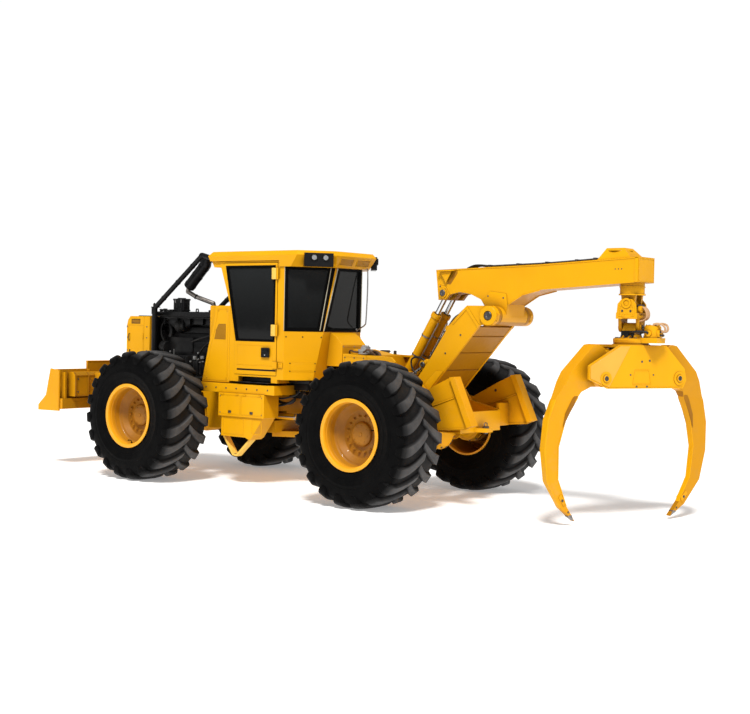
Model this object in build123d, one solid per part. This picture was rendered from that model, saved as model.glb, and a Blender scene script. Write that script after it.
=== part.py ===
from build123d import *
import os
from math import sin, cos, tan, radians, degrees, atan2, hypot, sqrt, pi

# Grapple skidder, four-wheel-drive, hinged in the middle.
# Axes: +X forward, +Y to the machine's left, +Z up; ground at Z = 0. Millimetres.
# All shapes are written about the centre pivot (X = 0) and shifted by X_SHIFT
# when saved, so that the origin is the bottom centre of the whole machine.

X_SHIFT = 473.0          # from the centre pivot to the middle of the whole length

# ---- wheels and axles
WHEELBASE = 3886.0
AXLE_X = WHEELBASE / 2
AXLE_Z = 889.0
TYRE_R = 889.0           # over the lugs
TYRE_HALF_W = 388.0
TRACK_HALF = 1239.0      # tyre centre plane
RIM_R = 406.0            # 32 inch rim
FLANGE_R = 438.0
# ---- frames
FRAME_HALF_W = 420.0
FRAME_Z0, FRAME_Z1 = 640.0, 1300.0
PIVOT_R = 60.0
STEER_DEG = 42.0
# ---- cab
CAB_HALF_W = 800.0
CAB_Z0, CAB_Z1 = 1400.0, 3020.0
SKIRT_Z = 2942.0         # lower edge of the roof's skirt
CAB_WALL = 50.0
CAB_BELT_Z = 2100.0
COWL_Z = 2420.0
ROOF_Z = 3155.0
CHAMFER_A = (-180.0, 800.0)      # rear corner cut, start
CHAMFER_B = (-630.0, 260.0)      # rear corner cut, end at the roof
DOOR_HINGE = (-72.0, 822.0)
# ---- engine bay
ENG_HALF_W = 500.0
HOOD_Z = 2330.0
# ---- arch, boom, grapple (side view points, X then Z)
ARCH_PIVOT = (-2030.0, 1330.0)
BOOM_PIVOT = (-3108.0, 2340.0)
BOOM_TAIL = (-2296.0, 2617.0)
BOOM_FOOT = (-1585.0, 1420.0)
BOOM_HALF_W = 200.0
ARCH_HALF_W = 400.0
BOOM_CYL_Y = 100.0
ARCH_CYL_Y = 290.0
ARCH_CYL_BASE = (-1120.0, 1090.0)
ARCH_CYL_EYE = (-2140.0, 1720.0)
TIP_X = -4780.0
LINK_PIN_Z = 2500.0
CROSS_PIN_Z = 2235.0
HEAD_TOP_Z = 2035.0
GRAPPLE_YAW = -24.0
TONG_PIVOT = (530.0, 1660.0)     # sideways, up
TONG_CYL = (470.0, 1925.0)
# ---- blade
BLADE_PIVOT = (2330.0, 760.0)
BLADE_HALF_W = 1200.0
BLADE_CYL_BASE = (2760.0, 1250.0)
BLADE_CYL_EYE = (3560.0, 1000.0)
BLADE_CYL_Y = 490.0
# ---- steering cylinders
STEER_BASE = (620.0, 375.0)
STEER_EYE = (-400.0, 270.0)
STEER_Z = 930.0

os.makedirs("parts", exist_ok=True)


# ------------------------------------------------------------ shape helpers
def box(x0, x1, y0, y1, z0, z1):
    return Pos((x0 + x1) / 2, (y0 + y1) / 2, (z0 + z1) / 2) * Box(x1 - x0, y1 - y0, z1 - z0)


def face3(points):
    return Face(Wire.make_polygon([Vector(*p) for p in points], close=True))


def prism_xz(points, y0, y1):
    return Solid.extrude(face3([(x, y0, z) for x, z in points]), Vector(0, y1 - y0, 0))


def prism_xy(points, z0, z1):
    return Solid.extrude(face3([(x, y, z0) for x, y in points]), Vector(0, 0, z1 - z0))


def prism_yz(points, x0, x1):
    return Solid.extrude(face3([(x0, y, z) for y, z in points]), Vector(x1 - x0, 0, 0))


def cyl_y(x, z, r, y0, y1):
    return Solid.make_cylinder(r, y1 - y0, Plane(origin=(x, y0, z), z_dir=(0, 1, 0)))


def cyl_z(x, y, r, z0, z1):
    return Solid.make_cylinder(r, z1 - z0, Plane(origin=(x, y, z0), z_dir=(0, 0, 1)))


def cyl_x(y, z, r, x0, x1):
    return Solid.make_cylinder(r, x1 - x0, Plane(origin=(x0, y, z), z_dir=(1, 0, 0)))


def rod(p, q, r):
    p, q = Vector(*p), Vector(*q)
    return Solid.make_cylinder(r, (q - p).length, Plane(origin=p, z_dir=(q - p).normalized()))


def pipe(points, r):
    """A bent pipe: straight runs joined by balls of the same radius."""
    s = None
    for a, b in zip(points, points[1:]):
        s = rod(a, b, r) if s is None else s + rod(a, b, r)
    for c in points[1:-1]:
        s = s + Pos(*c) * Sphere(r)
    return s


def revolve_y(profile, y_mid, x, z):
    """Revolve (radius, y) points about the Y axis line through (x, z)."""
    f = face3([(r, y, 0) for r, y in profile])
    s = Solid.revolve(f, 360, Axis.Y)
    return Pos(x, y_mid, z) * s


def mirror_y(s):
    return s.mirror(Plane.XZ)


def both(s):
    return [s, mirror_y(s)]


def turn(s, x, y, deg):
    return Pos(x, y, 0) * Rot(0, 0, deg) * Pos(-x, -y, 0) * s


def lerp(p, q, t):
    return tuple(a + (b - a) * t for a, b in zip(p, q))


NODES = {}


def save(name, shape):
    """Write one node, shifted to the machine's origin."""
    solids = []
    for s in (shape if isinstance(shape, (list, tuple)) else [shape]):
        solids += list(s.solids())
    moved = [Pos(X_SHIFT, 0, 0) * s for s in solids]
    out = moved[0] if len(moved) == 1 else Compound(children=[m for m in moved])
    export_step(out, "parts/%s.step" % name)
    NODES[name] = out


# ------------------------------------------------------------ wheels
# (radius, offset from the tyre's centre plane, outward positive)
TYRE_PROFILE = [(407, 340), (445, 340), (470, 360), (520, 374), (620, 388), (720, 384), (800, 366),
                (866, 330), (TYRE_R, 180), (TYRE_R, -180), (866, -330), (800, -366),
                (720, -384), (620, -388), (520, -374), (470, -360), (445, -340), (407, -340)]
# deep dish rim, disc well inside the outer lip
RIM_PROFILE = [(112, -150), (230, -150), (236, 64), (284, 68), (346, 130), (374, 134), (376, -345), (404, -345),
               (404, 345), (432, 345), (FLANGE_R, 352), (FLANGE_R, 363), (392, 363), (384, 330), (382, 166), (366, 150),
               (350, 146), (292, 90), (284, 86), (150, 86), (146, 122), (120, 134), (0, 134), (0, 60), (102, 60), (102, -150)]
WHEELS = [("front_left", 1, 1), ("front_right", 1, -1), ("rear_left", -1, 1), ("rear_right", -1, -1)]
for name, fx, fy in WHEELS:
    tyre = revolve_y(TYRE_PROFILE, TRACK_HALF, AXLE_X * fx, AXLE_Z)
    rim = revolve_y(RIM_PROFILE, TRACK_HALF, AXLE_X * fx, AXLE_Z)
    if fy < 0:
        tyre, rim = mirror_y(tyre), mirror_y(rim)
    save("tyre_" + name, tyre)
    save("wheel_" + name, rim)

# ------------------------------------------------------------ axles
# (radius, y) from the middle outwards
AXLE_PROFILE = [(0, 0), (285, 0), (285, 90), (230, 190), (150, 300), (132, 420), (132, 860),
                (170, 900), (205, 905), (205, 1050), (150, 1078), (101, 1078), (101, 1290), (0, 1290)]


def axle(x):
    half = revolve_y(AXLE_PROFILE, 0, x, AXLE_Z)
    nose = cyl_x(0, AXLE_Z, 150, min(x, x - 290 * (1 if x > 0 else -1)), max(x, x - 290 * (1 if x > 0 else -1)))
    return half + mirror_y(half) + nose


save("front_axle", axle(AXLE_X))
save("rear_axle", axle(-AXLE_X))

# ------------------------------------------------------------ front frame
front_profile = [(300, FRAME_Z0 + 60), (1560, FRAME_Z0 + 60), (1600, 980), (1680, 1190), (2206, 1190),
                 (2286, 980), (2300, 620), (2560, 560), (3160, 760), (3160, 1330), (300, 1330)]
front = prism_xz(front_profile, -FRAME_HALF_W, FRAME_HALF_W)
# axle saddles each side of the axle's bowl
for y0, y1 in ((330, 420), (-420, -330)):
    front = front + box(1740, 2146, y0, y1, 1045, 1200)
# hinge ears, upper and lower
for z0, z1 in ((1190, 1280), (FRAME_Z0, FRAME_Z0 + 80)):
    ear = prism_xy([(420, 330), (420, -330), (60, -150), (60, 150)], z0, z1) + cyl_z(0, 0, 165, z0, z1) \
        + prism_xy([(60, 150), (60, -150), (0, -165), (0, 165)], z0, z1)
    front = front + ear
front = front - cyl_z(0, 0, PIVOT_R, FRAME_Z0 - 50, 1400)
# side sills that carry the cab and the steps
sill = box(-60, 1330, FRAME_HALF_W - 10, 835, 1240, 1366)
front = front + sill + mirror_y(sill)
# rear outriggers under the cab's rear corners
rear_sill = prism_xy([(80, 290), (80, 430), (-300, 430), (-440, 300), (-440, 290)], 1300, 1396)
front = front + rear_sill + mirror_y(rear_sill) + box(-440, 320, -300, 300, 1300, 1396)
# pockets for the steering cylinders, with the pins of their barrels
for s in (1, -1):
    front = front - box(290, 700, *sorted((s * 170, s * 480)), STEER_Z - 62, STEER_Z + 62)
    front = front + cyl_z(STEER_BASE[0], s * STEER_BASE[1], 27, STEER_Z - 70, STEER_Z + 70)
save("front_frame", front)

# ------------------------------------------------------------ engine bay
engine = box(1480, 2640, -330, 330, 1335, 1900) + box(1560, 2560, -230, 230, 1900, 2230)
save("engine", engine)
# hood plate on four posts, with the rear bulkhead
hood = box(1330, 2645, -ENG_HALF_W, ENG_HALF_W, HOOD_Z - 70, HOOD_Z)
for x in (1340, 2590):
    for y in (-ENG_HALF_W, ENG_HALF_W - 45):
        hood = hood + box(x, x + 45, y, y + 45, 1368, HOOD_Z - 60)
save("engine_hood", hood)
radiator = prism_xz([(2680, 1335), (3190, 1335), (3190, 2100), (3165, 2190), (3105, 2255), (2680, 2255)], -530, 530)
radiator = radiator - box(3150, 3200, -430, 430, 1420, 2060)
save("radiator_housing", radiator)
save("air_cleaner", box(2190, 2410, 200, 330, HOOD_Z + 2, 2520))
MUFFLER = [(1980, 430, 2690), (1660, 430, 3000), (1640, 430, 3130)]
EXHAUST = [(1990, 430, 2680), (2030, 405, 2620), (1940, 330, 2550), (1720, 200, 2460), (1690, 190, HOOD_Z + 20)]
save("muffler", pipe(MUFFLER, 82))
save("exhaust_pipe", pipe(EXHAUST, 32) - rod(MUFFLER[0], MUFFLER[1], 84) + cyl_z(1690, 190, 60, HOOD_Z + 2, HOOD_Z + 20))
RISER = [(2470, 640, 1372), (2470, 640, 2370), (1490, 660, 3122), (1240, 700, 3066)]
riser_l = pipe(RISER, 36) + box(2410, 2530, 560, 670, 1368, 1384) + box(2450, 2490, 500, 640, 2270, 2310)
save("limb_risers", both(riser_l))
# nose deck over the push arms, ahead of the radiator
save("nose_deck", prism_xz([(3192, 1290), (3192, 1500), (3560, 1540), (3640, 1500), (3640, 1420), (3400, 1290)], -450, 450)
     - box(3300, 3700, -400, 400, 1200, 1480) - box(3150, 3700, 240, 420, 1200, 1480) - box(3150, 3700, -420, -240, 1200, 1480))

# cowl between the engine bay and the cab: its side panels flare forward towards the foot (X, Z)
COWL_SIDE = [(802, 1368), (1325, 1368), (1282, 1560), (1206, 1880), (1122, 2160), (1084, 2420), (802, 2420)]
cowl = prism_yz([(-660, 1368), (660, 1368), (660, COWL_Z), (-660, COWL_Z)], 802, 1325)
for s in (1, -1):
    cowl = cowl + prism_xz(COWL_SIDE, *sorted((s * 650, s * CAB_HALF_W)))
save("front_cowl", cowl)

# ------------------------------------------------------------ cab
REAR_SLOPE = 0.133       # the rear wall leans back towards the roof
CAB_LEAN = 0.3558        # and the windscreen leans forward


def rear_x(z):
    return -440 - REAR_SLOPE * (z - 1500)


def cab_shape(inset):
    zb, zt = CAB_Z0 + inset, CAB_Z1 - inset
    w = CAB_HALF_W - inset
    side = prism_xz([(800 - inset, zb), (800 - inset, COWL_Z), (800 + CAB_LEAN * (zt - COWL_Z) - inset, zt), (rear_x(zt) + inset, zt),
                     (rear_x(zb) + inset, zb)], -w, w)
    (ax, ay), (bx, by) = CHAMFER_A, CHAMFER_B
    n = hypot(bx - ax, by - ay)
    dx, dy = (bx - ax) / n, (by - ay) / n
    ox, oy = -dy * inset * -1, dx * inset          # move the corner cut inwards
    pa = (ax + -dy * inset, ay + dx * inset)
    pb = (bx + -dy * inset, by + dx * inset)
    # where the moved cut meets the side wall
    ta = (w - pa[1]) / dy
    sa = (pa[0] + dx * ta, w)
    tb = (pb[0] + dx * 250, pb[1] + dy * 250)
    plan = prism_xy([(1300, w), sa, tb, (tb[0], -tb[1]), (sa[0], -w), (1300, -w)], zb, zt)
    return side & plan


def chamfer_point(t, z, out=0.0):
    """Point on the left rear corner cut: t mm from its front edge, out mm outwards."""
    (ax, ay), (bx, by) = CHAMFER_A, CHAMFER_B
    n = hypot(bx - ax, by - ay)
    dx, dy = (bx - ax) / n, (by - ay) / n
    return (ax + dx * t + dy * out, ay + dy * t - dx * out, z)


def chamfer_panel(pts, o0, o1):
    f = face3([chamfer_point(t, z, o0) for t, z in pts])
    a, b = chamfer_point(0, 0, o0), chamfer_point(0, 0, o1)
    return Solid.extrude(f, Vector(b[0] - a[0], b[1] - a[1], 0))


cab = cab_shape(0) - cab_shape(CAB_WALL)
# the floor steps up behind the door, over the centre hinge
cab = cab - box(-800, -75, -900, 900, 1300, 1449) + (cab_shape(0) & box(-800, -25, -900, 900, 1449, 1490))
# step pocket let into the side below the door
pocket = box(15, 648, 690, 780, 1420, 1492)
cab = cab + pocket + mirror_y(pocket) - box(35, 628, 712, 900, 1390, 1472) - box(35, 628, -900, -712, 1390, 1472)
# door opening and fixed right window (X, Z)
DOOR_OUT = [(-60, 1495), (705, 1495), (705, 1935), (922, 3000), (-60, 3000)]
DOOR_WIN = [(-20, 1950), (680, 1950), (887, 2957), (-20, 2957)]
SIDE_WIN = [(-60, 1950), (690, 1950), (894, 2950), (-60, 2950)]
cab = cab - prism_xz(DOOR_OUT, 700, 900) - prism_xz(SIDE_WIN, -900, -700)
# rear corner windows (along the cut, Z) and rear window (Y, Z)
CORNER_WIN = [(14, 2110), (462, 2110), (602, 2930), (14, 2930)]
REAR_WIN = [(-352, 2110), (352, 2110), (228, 2930), (-228, 2930)]
cw = chamfer_panel(CORNER_WIN, 60, -90)
cab = cab - cw - mirror_y(cw) - prism_yz(REAR_WIN, -800, -420)
# windscreen (Y, Z)
SCREEN = [(-720, COWL_Z + 30), (720, COWL_Z + 30), (720, 2950), (-720, 2950)]
cab = cab - prism_yz(SCREEN, 700, 1100)
save("cab_frame", cab)

# housing on the cab's rear wall below the window, its top sloping back
housing = prism_xz([(-430, 1640), (-430, 2083), (-536, 2083), (-623, 2031), (-727, 1926), (-727, 1640)], -250, 250)
save("cab_rear_housing", housing - cab_shape(0))

# panes, each set into its opening
GAP, PANE = 3.0, 12.0


def shrink(pts, g):
    cx = sum(p[0] for p in pts) / len(pts)
    cz = sum(p[1] for p in pts) / len(pts)
    return [(p[0] + (g if p[0] < cx else -g), p[1] + (g if p[1] < cz else -g)) for p in pts]


lean = CAB_LEAN


def screen_x(z):
    return 800 + lean * (z - COWL_Z)


def lean_pane(pts, fx, thick, g):
    q = shrink(pts, g)
    f = face3([(fx(z), y, z) for y, z in q])
    return Solid.extrude(f, Vector(thick, 0, 0))


panes = [lean_pane(SCREEN, lambda z: screen_x(z) - 30, PANE, GAP + 2),
         lean_pane(REAR_WIN, lambda z: rear_x(z) + 18, PANE, GAP + 2),
         prism_xz(shrink(SIDE_WIN, GAP), -CAB_HALF_W + 18, -CAB_HALF_W + 30)]
cp = chamfer_panel(shrink(CORNER_WIN, GAP), -18, -30)
panes += both(cp)
save("cab_windows", panes)

# roof with overhang, sloped fascia; narrower bottom than top at the rear
roof_low = [(1120, 815), (-293, 815), (-676, 360), (-676, -360), (-293, -815), (1120, -815)]
roof_high = [(1205, 835), (-411, 835), (-750, 420), (-750, -420), (-411, -835), (1205, -835)]
roof_cap = [(1150, 790), (-390, 790), (-700, 400), (-700, -400), (-390, -790), (1150, -790)]
ROOF_EDGE_Z = 3095.0


def ring(points, z):
    return Wire.make_polygon([Vector(x, y, z) for x, y in points], close=True)


roof = Solid.make_loft([ring(roof_low, SKIRT_Z), ring(roof_high, ROOF_EDGE_Z)], ruled=True)
roof = roof + Solid.make_loft([ring(roof_high, ROOF_EDGE_Z), ring(roof_cap, ROOF_Z)], ruled=True)
roof = roof - cab_shape(-2)
# the skirt stops short over each door, so that the door swings out under the roof
for s in (1, -1):
    roof = roof - box(-95, 1300, *sorted((s * 795, s * 900)), 2900, 3024)
save("cab_roof", roof)
# work light boxes on the roof's rear corner cuts, two lamps each
LAMP_A, LAMP_B = (-352.0, 825.0), (-713.0, 390.0)


def roof_corner(t, z, out=0.0):
    """Point on the roof's left rear corner: t mm from its front edge, out mm outwards."""
    n = hypot(LAMP_B[0] - LAMP_A[0], LAMP_B[1] - LAMP_A[1])
    dx, dy = (LAMP_B[0] - LAMP_A[0]) / n, (LAMP_B[1] - LAMP_A[1]) / n
    return (LAMP_A[0] + dx * t + dy * out, LAMP_A[1] + dy * t - dx * out, z)


n_l = []
p0, p1 = roof_corner(0, 0, 0), roof_corner(0, 0, 75)
lb = Solid.extrude(face3([roof_corner(t, z, -15) for t, z in ((130, 2944), (515, 2944), (515, 3122), (130, 3122))]),
                   Vector(p1[0] - p0[0], p1[1] - p0[1], 0))
n_l = [lb, mirror_y(lb)]
save("work_light_boxes", [l - roof for l in n_l])

# door: panel with its window cut, hinges at the rear post
door = prism_xz(shrink(DOOR_OUT, 6), 762, 806) - prism_xz(DOOR_WIN, 700, 900)
for z, h in ((1640, 45), (2100, 75), (2850, 75)):
    door = door + cyl_z(DOOR_HINGE[0], DOOR_HINGE[1], 13, z - h, z + h) + box(-72, 2, 806, 822, z - h, z + h)
save("door", door)
save("door_glass", prism_xz(shrink(DOOR_WIN, GAP), 780, 792))
save("door_handle", box(60, 190, 806.5, 826, 1745, 1860))
# seat and controls inside
seat = box(-260, 260, -240, 240, 1760, 1880) + prism_xz([(-330, 1850), (-210, 1850), (-290, 2500), (-370, 2500)], -220, 220) \
    + box(-170, 170, -160, 160, 1492, 1760)
save("operator_seat", seat)
controls = [box(-160, 330, s * 270 if s > 0 else -420, 420 if s > 0 else -270, 1880, 1960) +
            box(-60, 160, 300 if s > 0 else -400, 400 if s > 0 else -300, 1492, 1885) +
            rod((240, s * 345, 1950), (270, s * 345, 2110), 16) for s in (1, -1)]
controls.append(prism_xz([(560, 1452), (745, 1452), (745, 2330), (690, 2330), (600, 1980)], -560, 560))
save("control_consoles", controls)

# ------------------------------------------------------------ side boxes and steps
left_box = box(100, 940, 560, 860, 925, 1238) + prism_xz([(130, 925), (900, 925), (900, 650), (450, 650), (380, 620), (330, 650)], 590, 840)
save("side_boxes", both(left_box))
# bent strap that hangs below each box as the first step (X, Z)
strap_out = [(900, 648), (720, 392), (640, 380), (380, 648)]
strap_in = [(868, 648), (700, 415), (648, 408), (424, 648)]
strap_out[0], strap_out[3], strap_in[0], strap_in[3] = (900, 646), (380, 618), (868, 646), (424, 618)
strap = prism_xz([strap_out[0], strap_out[1], strap_out[2], strap_out[3], strap_in[3], strap_in[2], strap_in[1], strap_in[0]], 700, 800)
save("step_straps", both(strap))

# ------------------------------------------------------------ blade
blade_sec = [(3890, 1425), (3930, 1445), (4010, 1430), (3985, 1200), (4040, 1000), (4180, 880), (4360, 850),
             (4375, 830), (4300, 815), (3960, 850), (3900, 960)]
blade = prism_xz([(3930, 1445), (3985, 1445), (3962, 1200), (4020, 990), (4150, 880), (4374, 850), (4374, 820),
                  (4120, 830), (3960, 950), (3905, 1200)], -BLADE_HALF_W, BLADE_HALF_W)
end_plate = [(3900, 1425), (4100, 1450), (4200, 1050), (4374, 900), (4374, 820), (3900, 826)]
for s in (1, -1):
    blade = blade + prism_xz(end_plate, *sorted((s * 1175, s * BLADE_HALF_W)))
# back stiffeners and top tube
blade = blade + cyl_y(3700, 900, 60, -600, 600) + prism_xz([(3760, 1040), (3760, 1355), (3800, 1402), (3960, 1402), (3940, 1040)], -1014, 1014) \
    + box(3916, 3950, -650, 650, 1395, 1563) + prism_xz([(3850, 860), (4000, 860), (3960, 1010), (3850, 1010)], -1175, 1175)
for y in (-1110, -560, 0, 560, 1110):
    blade = blade + prism_xz([(3850, 900), (3960, 900), (3960, 1400), (3850, 1400)], y - 15, y + 15)
# push arms to the frame pivots, ahead of the axle (X, Z)
ARM = [(2330, 840), (2250, 760), (2330, 680), (2560, 640), (3300, 830), (3860, 850), (3860, 1380), (3560, 1400),
       (3360, 1250), (3000, 1000), (2500, 850)]
for s in (1, -1):
    arm = prism_xz(ARM, *sorted((s * 560, s * 640))) - cyl_y(BLADE_PIVOT[0], BLADE_PIVOT[1], 45.5, *sorted((s * 500, s * 700)))
    blade = blade + arm
    blade = blade + cyl_y(BLADE_CYL_EYE[0], BLADE_CYL_EYE[1], 62, *sorted((s * (BLADE_CYL_Y + 38), s * 600)))
save("blade", blade)
# pivot stubs on the frame for the arms, and the pins of the lift cylinders
stubs = [cyl_y(BLADE_PIVOT[0], BLADE_PIVOT[1], 45, *sorted((s * 420, s * 655))) +
         cyl_y(BLADE_PIVOT[0], BLADE_PIVOT[1], 95, *sorted((s * 420, s * 550))) for s in (1, -1)]
stubs += [cyl_y(BLADE_CYL_BASE[0], BLADE_CYL_BASE[1], 30, *sorted((s * FRAME_HALF_W, s * (BLADE_CYL_Y + 34)))) for s in (1, -1)]
save("blade_pivots", stubs)


def cylinder(base, eye, y_list, r, rod_r, shorten, extend, eye_w, base_r, eye_r, pin_r, z=None, margin=15):
    """Barrel and rod between a base pin and a rod eye, one pair for each offset in y_list.
    In side view (X, Z) when z is None, else in plan (X, Y) at height z.
    `shorten` and `extend` are the rod's travel from the drawn position."""
    L = hypot(eye[0] - base[0], eye[1] - base[1])
    ux, uz = (eye[0] - base[0]) / L, (eye[1] - base[1]) / L
    end = L - shorten - eye_r - margin           # barrel's length
    start = base_r + 60 + shorten + 10           # inner end of the rod
    assert start + extend + 30 < end, "rod leaves the barrel"
    barrels, rods = [], []
    for y in y_list:
        def P(t):
            if z is None:
                return (base[0] + ux * t, y, base[1] + uz * t)
            return (base[0] + ux * t, base[1] + uz * t, z)

        def eyelet(c, rr, w):
            if z is None:
                return cyl_y(c[0], c[2], rr, y - w / 2, y + w / 2)
            return cyl_z(c[0], c[1], rr, z - w / 2, z + w / 2)
        barrel = rod(P(base_r * 0.75), P(end), r) + eyelet(P(0), base_r, eye_w) + rod(P(end - 60), P(end), r * 1.12)
        barrel = barrel - rod(P(base_r + 60), P(end + 5), rod_r + 0.5) - eyelet(P(0), pin_r + 0.5, 300)
        rd = rod(P(start), P(L - eye_r * 0.6), rod_r) + eyelet(P(L), eye_r, eye_w)
        rd = rd - eyelet(P(L), pin_r, 300)
        barrels.append(barrel)
        rods.append(rd)
    return barrels, rods


# blade lift cylinders
bb, br = cylinder(BLADE_CYL_BASE, BLADE_CYL_EYE, (BLADE_CYL_Y, -BLADE_CYL_Y), 48, 28, 65, 275, 60, 56, 50, 30)
save("blade_cylinder_barrels", bb)
save("blade_cylinder_rods", br)

# ------------------------------------------------------------ steering cylinders
for name, s in (("left", 1), ("right", -1)):
    cb, cr = cylinder((STEER_BASE[0], s * STEER_BASE[1]), (STEER_EYE[0], s * STEER_EYE[1]), (0,), 42, 24,
                      225, 225, 64, 50, 46, 27, z=STEER_Z)
    save("steering_barrel_" + name, cb)
    save("steering_rod_" + name, cr)

# ------------------------------------------------------------ rear frame
RAIL_Y0, RAIL_Y1 = 412.0, 450.0
rear = box(-990, -520, -RAIL_Y1, RAIL_Y1, 660, 1280)
for z0, z1, p0, p1 in ((735, 842, 642, 800), (1018, 1175, 1060, 1278)):
    rear = rear + prism_xy([(0, 125), (-540, 230), (-540, -230), (0, -125)], z0, z1) + cyl_z(0, 0, 125, z0, z1) \
        + cyl_z(0, 0, PIVOT_R - 0.5, p0, p1)
for s in (1, -1):
    for z0 in (STEER_Z - 82, STEER_Z + 58):
        rear = rear + prism_xy([(-530, s * 190), (-400, s * 205), (-345, s * 235), (-345, s * 305), (-400, s * 335), (-530, s * 350)], z0, z0 + 24)
save("rear_frame", rear)

# side rails over the axle, with the floor and cross members between them
rear = box(-1560, -990, -RAIL_Y1, RAIL_Y1, 660, 700)
RAIL = [(-990, 660), (-1560, 660), (-1640, 1066), (-2246, 1066), (-2330, 900), (-2760, 900), (-2760, 1160),
        (-2330, 1260), (-2180, 1470), (-1880, 1470), (-1760, 1300), (-1300, 1280), (-990, 1280)]
for s in (1, -1):
    rail = prism_xz(RAIL, *sorted((s * RAIL_Y0, s * RAIL_Y1)))
    # saddle block down to the axle tube
    rail = rail + box(-2120, -1766, *sorted((s * RAIL_Y0, s * RAIL_Y1)), 1026, 1100)
    # arch pivot pin and boss
    rail = rail + cyl_y(ARCH_PIVOT[0], ARCH_PIVOT[1], 50, *sorted((s * 330, s * 470))) \
        + cyl_y(ARCH_PIVOT[0], ARCH_PIVOT[1], 105, *sorted((s * RAIL_Y0, s * 470)))
    rear = rear + rail
# cross members at the back
rear = rear + box(-2760, -2380, -RAIL_Y1, RAIL_Y1, 900, 960)
rear = rear + box(-2760, -2700, -RAIL_Y1, RAIL_Y1, 900, 1150)
# recovery hitch at the rear with a pin hole
hitch = prism_xy([(-2750, 120), (-2900, 66), (-2900, -66), (-2750, -120)], 901, 951) - cyl_z(-2836, 0, 32, 850, 1100)
rear = rear + hitch
save("rear_rails", rear)
# pins of the arch's cylinders, on the rails' inner faces
save("arch_cylinder_pins", [cyl_y(ARCH_CYL_BASE[0], ARCH_CYL_BASE[1], 32, *sorted((s * 240, s * RAIL_Y0))) for s in (1, -1)])

# log guard: two side wings and a cross plate behind the axle (X, Z)
WING_Y = 690.0
WING = [(-2110, 940), (-2110, 1250), (-2560, 1490), (-2776, 1590), (-2855, 1603), (-3120, 1030), (-3010, 978), (-2600, 940)]
guard = box(-2740, -2340, -WING_Y, WING_Y, 970, 1010) - box(-2800, -2300, -RAIL_Y1 - 2, RAIL_Y1 + 2, 900, 1200)
parts = []
for s in (1, -1):
    wing = prism_xz(WING, *sorted((s * WING_Y, s * (WING_Y + 25))))
    band = prism_xz([(-2790, 1594), (-2860, 1604), (-3124, 1030), (-3054, 1004)], *sorted((s * (WING_Y - 70), s * (WING_Y + 70))))
    arm = box(-2740, -2340, *sorted((s * (RAIL_Y1 + 1), s * (WING_Y + 2))), 950, 1010) \
        + box(-2740, -2700, *sorted((s * (RAIL_Y1 + 1), s * (WING_Y + 2))), 950, 1240)
    parts.append(wing + band + arm)
save("log_guard", parts)

# rear hood: tank block ahead, open deck with side plates behind
hood2 = prism_xz([(-900, 1284), (-900, 1818), (-1280, 1806), (-1280, 1284)], -RAIL_Y1, RAIL_Y1) \
    + prism_xz([(-900, 1700), (-900, 1874), (-985, 1858), (-1200, 1822), (-1268, 1796), (-1268, 1700)], -230, 230)
for s in (1, -1):
    hood2 = hood2 + prism_xz([(-1270, 1305), (-1270, 1806), (-1520, 1806), (-1676, 1796), (-1740, 1740), (-1740, 1330)], *sorted((s * RAIL_Y0, s * (RAIL_Y1 - 8))))
    hood2 = hood2 + prism_xz([(-1270, 1806), (-1560, 1806), (-1560, 1780), (-1270, 1780)], *sorted((s * 360, s * (RAIL_Y1 - 8))))
save("rear_hood", hood2)
save("valve_block", box(-1240, -1110, 240, 400, 1818, 1880) + box(-1215, -1135, 265, 375, 1875, 1915) - box(-1300, -1000, 200, 420, 1780, 1817.5))

# ------------------------------------------------------------ arch
ARCH_SIDE = [(-2030, 1200), (-2170, 1310), (-2333, 1495), (-2972, 2224), (-3060, 2235), (-3215, 2270), (-3235, 2360),
             (-3150, 2460), (-2785, 2460), (-2606, 2295), (-2528, 2217), (-2232, 1768), (-1900, 1330), (-1930, 1220)]
arch = None
for s in (1, -1):
    plate = prism_xz(ARCH_SIDE, *sorted((s * 360, s * ARCH_HALF_W)))
    plate = plate + cyl_y(BOOM_PIVOT[0], BOOM_PIVOT[1], 118, *sorted((s * 300, s * 425)))
    plate = plate + cyl_y(ARCH_CYL_EYE[0], ARCH_CYL_EYE[1], 60, *sorted((s * 328, s * 380)))
    arch = plate if arch is None else arch + plate
arch = arch + cyl_y(ARCH_PIVOT[0], ARCH_PIVOT[1], 98, -365, 365)
arch = arch + prism_xz([(-2200, 1350), (-2945, 2200), (-2926, 2217), (-2181, 1367)], -365, 365)
arch = arch + prism_xz([(-2255, 1815), (-2500, 2190), (-2521, 2176), (-2276, 1801)], -365, 365)
# foot that carries the boom cylinders
FOOT = [(-2080, 1400), (-2080, 1270), (-1980, 1245), (-1640, 1345), (-1540, 1390), (-1520, 1440), (-1570, 1500), (-1650, 1490)]
for y0, y1 in ((-24, 24), (176, 200), (-200, -176)):
    arch = arch + prism_xz(FOOT, y0, y1)
arch = arch + cyl_y(BOOM_FOOT[0], BOOM_FOOT[1], 35, -200, 200)
arch = arch + cyl_y(BOOM_PIVOT[0], BOOM_PIVOT[1], 50, -ARCH_HALF_W, ARCH_HALF_W)
for s in (1, -1):
    arch = arch - cyl_y(ARCH_PIVOT[0], ARCH_PIVOT[1], 50.5, *sorted((s * 320, s * 500)))
save("arch", arch)
ab, ar = cylinder(ARCH_CYL_BASE, ARCH_CYL_EYE, (ARCH_CYL_Y, -ARCH_CYL_Y), 52, 32, 200, 60, 60, 60, 54, 32)
save("arch_cylinder_barrels", ab)
save("arch_cylinder_rods", ar)

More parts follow.
